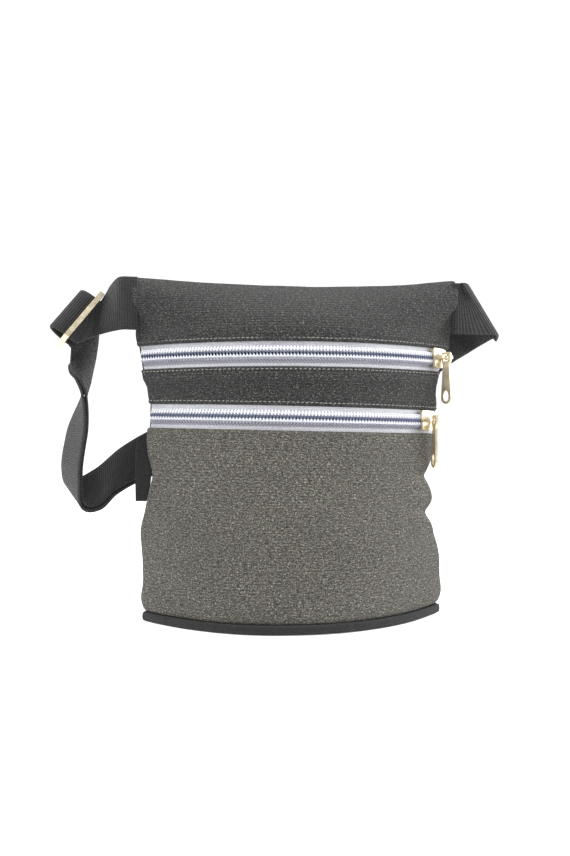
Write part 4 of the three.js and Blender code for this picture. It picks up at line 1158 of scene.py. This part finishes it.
def crossed_box(stations):
    """The crossed box of stitches that holds the two layers below the tri-glide"""
    close = with_normals(stations)
    runs = np.array([s.run for s in close])
    corners = [(BOX_START, -BOX_HALF), (BOX_START, BOX_HALF), (BOX_END, BOX_HALF), (BOX_END, -BOX_HALF)]
    lines = [(corners[i], corners[(i + 1) % 4]) for i in range(4)]
    lines += [(corners[0], corners[2]), (corners[1], corners[3])]
    bodies = []
    flats = []
    for start, end in lines:
        step = np.subtract(end, start)
        count = round(float(np.hypot(*step)) / STRAP_STITCH)
        stitch = bead(0.8, 0.2, 0.2, math.atan2(step[1], step[0]))
        for k in range(count):
            run, across = np.add(start, step * (k + 0.5) / count)
            s = close[int(np.argmin(np.abs(runs - run)))]
            along = np.cross(s.width, s.normal)
            middle = s.at + along * (run - s.run) + s.width * across + s.normal * WEBBING / 2
            bodies.append(middle + stitch @ np.array([along, s.width, s.normal]))
            flats.append(stitch[:, :2])
    repeated_piece("strap_box_stitches", bodies, flats, BEAD_FACES, BLACK_THREAD, "webbing")


def short_strap():
    ring_bar = ring_point(RING_HEIGHT / 2 - WIRE_RADIUS, 0)
    slant = toward(-0.56, -0.1, 0.82)
    lead_end = RIGHT_ROOT + vec(SHORT_LEAD, 0, 0)
    lead = refined([
        standing(RIGHT_ROOT - vec(ROOT_HIDDEN, 0, 0), toward(0, 0, 1)),
        standing(RIGHT_ROOT, toward(0, 0, 1)),
        standing(RIGHT_ROOT + vec(3 * WEBBING, 0, 0), toward(-0.15, 0, 0.98)),
        standing(lead_end, slant),
    ])
    turned = folded(lead.pop().at, vec(1, 0, 0), slant, FOLD_RADIUS, math.radians(FOLD_TURN))
    seam_end = RING_HEIGHT / 2 + SHORT_STITCHED_END
    ring_end = RING_HEIGHT / 2 + 4 * WIRE_RADIUS
    tail = refined([
        turned.pop(),
        standing(lead_end + vec(-0.152, 0.628, -0.352) * WEBBING_WIDTH, toward(-0.63, -0.05, 0.77)),
        standing(ring_point(seam_end + DOUBLED_THICK, LAYER_PITCH / 2), RING_SQUARE),
        standing(ring_point(ring_end, LAYER_PITCH / 2), RING_SQUARE),
    ])
    stations = lead + turned + tail
    stations += wrapped(ring_bar, RING_OUT, -RING_RUN, LOOP_RADIUS, LOOP_RADIUS, RING_SQUARE)
    stations += [
        standing(ring_point(ring_end, -LAYER_PITCH / 2), RING_SQUARE),
        standing(ring_point(seam_end, -LAYER_PITCH / 2), RING_SQUARE),
    ]
    webbing_piece("short_strap_webbing", stations, "short_strap", slanted=True)


LABEL_COLUMNS = 10
LABEL_SWAY = 0.35


def side_label():
    """The bare black label, a folded tag caught in the left seam"""
    half = LABEL / 2
    bend = -reach(LEFT_EDGE_SHARES, LABEL_TOP) - CLOTH_GAP - LABEL_REACH + half
    # Each point of its section has a share of the way out to the bend, a distance beyond the bend
    # and a distance across.
    flat_side = [(share, 0, -half * (0.75 + 0.25 * share)) for share in rows_between(0, 1, LABEL_COLUMNS)]
    turns = [math.pi * k / 4 for k in (1, 2, 3)]
    section = flat_side + [(1, -half * math.sin(turn), -half * math.cos(turn)) for turn in turns]
    section += [(share, beyond, -across) for share, beyond, across in reversed(flat_side)]
    heights = rows_between(LABEL_BOTTOM + half, LABEL_TOP - half, 40)
    points = []
    for z in heights:
        root = -reach(LEFT_EDGE_SHARES, z) - CLOTH_GAP
        seam = front_row(z, [0], CLOTH)[0, 1] + CLOTH_GAP / 2
        sway = LABEL_SWAY * math.sin(z / 4.3)
        points += [(root + (bend - root) * share + beyond, seam + across + sway * share, z)
                   for share, beyond, across in section]
    faces = turned_over(tube_faces(len(heights), len(section)))
    mesh_piece("bare_label", points, faces, np.array(points)[:, ::2], LABEL_CLOTH, "label", "side_label")


# The metal pieces keep their solids, with rounded edges.
def rounded_metal(node, radius):
    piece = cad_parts[node]
    flatten = piece.modifiers.new("flat faces", "DECIMATE")
    flatten.decimate_type = "DISSOLVE"
    flatten.angle_limit = math.radians(1)
    edges = piece.modifiers.new("rounded edges", "BEVEL")
    edges.width = radius * MM
    edges.segments = 3
    edges.limit_method = "ANGLE"
    edges.angle_limit = math.radians(30)
    edges.harden_normals = True
    piece.data.materials.clear()
    piece.data.materials.append(NICKEL)


LIGHT_SIZE = 0.7
# Each light has its place in metres and its power in watts.
LIGHTS = [
    ("left_light", (-0.9, -0.12, 0.45), 4.6),
    ("right_light", (0.9, -0.16, 0.45), 9.0),
    ("top_light", (-0.1, -0.35, 1.1), 8.0),
]


def any_ray(tree, first, *kinds):
    """1 for a ray of any of these kinds, and 0 for the others"""
    node = tree.nodes.new("ShaderNodeLightPath")
    share = Value(node, first)
    for kind in kinds:
        share = share.maths("MAXIMUM", Value(node, kind))
    return share


FLOOR_HALF = 6
FLOOR_DROP = 0.0002


def white_floor():
    """A floor that looks pure white from any side and keeps its shadow"""
    mesh = bpy.data.meshes.new("floor")
    corners = [(x * FLOOR_HALF, y * FLOOR_HALF, 0) for x, y in ((-1, -1), (1, -1), (1, 1), (-1, 1))]
    mesh.from_pydata(corners, [], [(0, 1, 2, 3)])
    floor = bpy.data.objects.new("floor", mesh)
    bpy.context.scene.collection.objects.link(floor)
    floor.location.z = -FLOOR_DROP
    material = bpy.data.materials.new("white_floor")
    material.use_nodes = True
    tree = material.node_tree
    tree.nodes.clear()
    shown = any_ray(tree, "Is Camera Ray", "Is Glossy Ray", "Is Transmission Ray")
    plain = add(tree, "ShaderNodeBsdfDiffuse", {"Color": (0.8, 0.8, 0.8)})
    shaded = add(tree, "ShaderNodeBsdfDiffuse", {"Color": (0.85, 0.85, 0.85)})
    glow = add(tree, "ShaderNodeEmission", {"Color": (1, 1, 1), "Strength": 0.5})
    seen = add(tree, "ShaderNodeAddShader", {0: shaded, 1: glow})
    both = add(tree, "ShaderNodeMixShader", {0: shown, 1: plain, 2: seen})
    put(tree.nodes.new("ShaderNodeOutputMaterial").inputs["Surface"], both)
    mesh.materials.append(material)


def studio():
    """White surroundings, and soft light from both sides and from above"""
    scene = bpy.context.scene
    world = bpy.data.worlds.new("surroundings")
    scene.world = world
    world.use_nodes = True
    tree = world.node_tree
    tree.nodes.clear()
    # The side that the front faces is darker, for the light that falls and for what the metal mirrors.
    way = add(tree, "ShaderNodeTexCoord", output="Generated")
    toward_back = add(tree, "ShaderNodeSeparateXYZ", {0: way}, 1)
    falling = toward_back.remapped(-1.0, 0.1, 0.58, 1.1)
    mirrored = toward_back.remapped(-0.98, -0.1, 0.4, 0.68)
    glossy = any_ray(tree, "Is Glossy Ray")
    light = falling * (glossy * -1.0 + 1.0) + mirrored * glossy
    strength = light.maths("MAXIMUM", any_ray(tree, "Is Camera Ray", "Is Transmission Ray"))
    sky = add(tree, "ShaderNodeBackground", {"Color": (1, 1, 1), "Strength": strength})
    put(tree.nodes.new("ShaderNodeOutputWorld").inputs["Surface"], sky)
    for name, place, power in LIGHTS:
        data = bpy.data.lights.new(name, "AREA")
        data.size = LIGHT_SIZE
        data.energy = power
        lamp = bpy.data.objects.new(name, data)
        lamp.location = place
        aim = Vector((0, 0, BAG_HEIGHT * MM / 2)) - Vector(place)
        lamp.rotation_euler = aim.to_track_quat("-Z", "Y").to_euler()
        scene.collection.objects.link(lamp)
    scene.view_settings.view_transform = "Standard"


# The photo's camera: its focal length and the photo's height in pixels, its place in millimetres and its
# turn to the right in degrees
FOCAL_PIXELS = 699
PHOTO_HEIGHT_PIXELS = 856
SENSOR = 36
CAMERA_AT = (-33.6, -328.5, 89)
CAMERA_TURN = 5


def photo_camera():
    data = bpy.data.cameras.new("camera")
    data.sensor_fit = "AUTO"
    data.sensor_width = SENSOR
    data.lens = FOCAL_PIXELS / PHOTO_HEIGHT_PIXELS * SENSOR
    data.clip_start = 0.01
    data.clip_end = 50
    camera = bpy.data.objects.new("camera", data)
    camera.location = Vector(CAMERA_AT) * MM
    camera.rotation_euler = (math.radians(90), 0, math.radians(-CAMERA_TURN))
    bpy.context.scene.collection.objects.link(camera)
    bpy.context.scene.camera = camera


photo_camera()
white_floor()
studio()
top_front_panel()
middle_front_band()
lower_front_panel()
back_panel()
base_panel()
pocket_divider()
for each in ZIPS:
    for label, side in (("high", 1), ("low", -1)):
        zip_tape(each, label, side)
        coil_teeth(each, label, side)
topstitch("top_panel_stitches", UPPER_ZIP, 1)
topstitch("band_upper_stitches", UPPER_ZIP, -1)
topstitch("band_lower_stitches", LOWER_ZIP, 1)
long_strap()
short_strap()
side_label()
for name, radius in (("slider", 0.25), ("pull", 0.3)):
    for each in ZIPS:
        rounded_metal(f"{each.name}_{name}", radius)
rounded_metal("tri_glide", 0.8)
rounded_metal("strap_ring", 0.8)
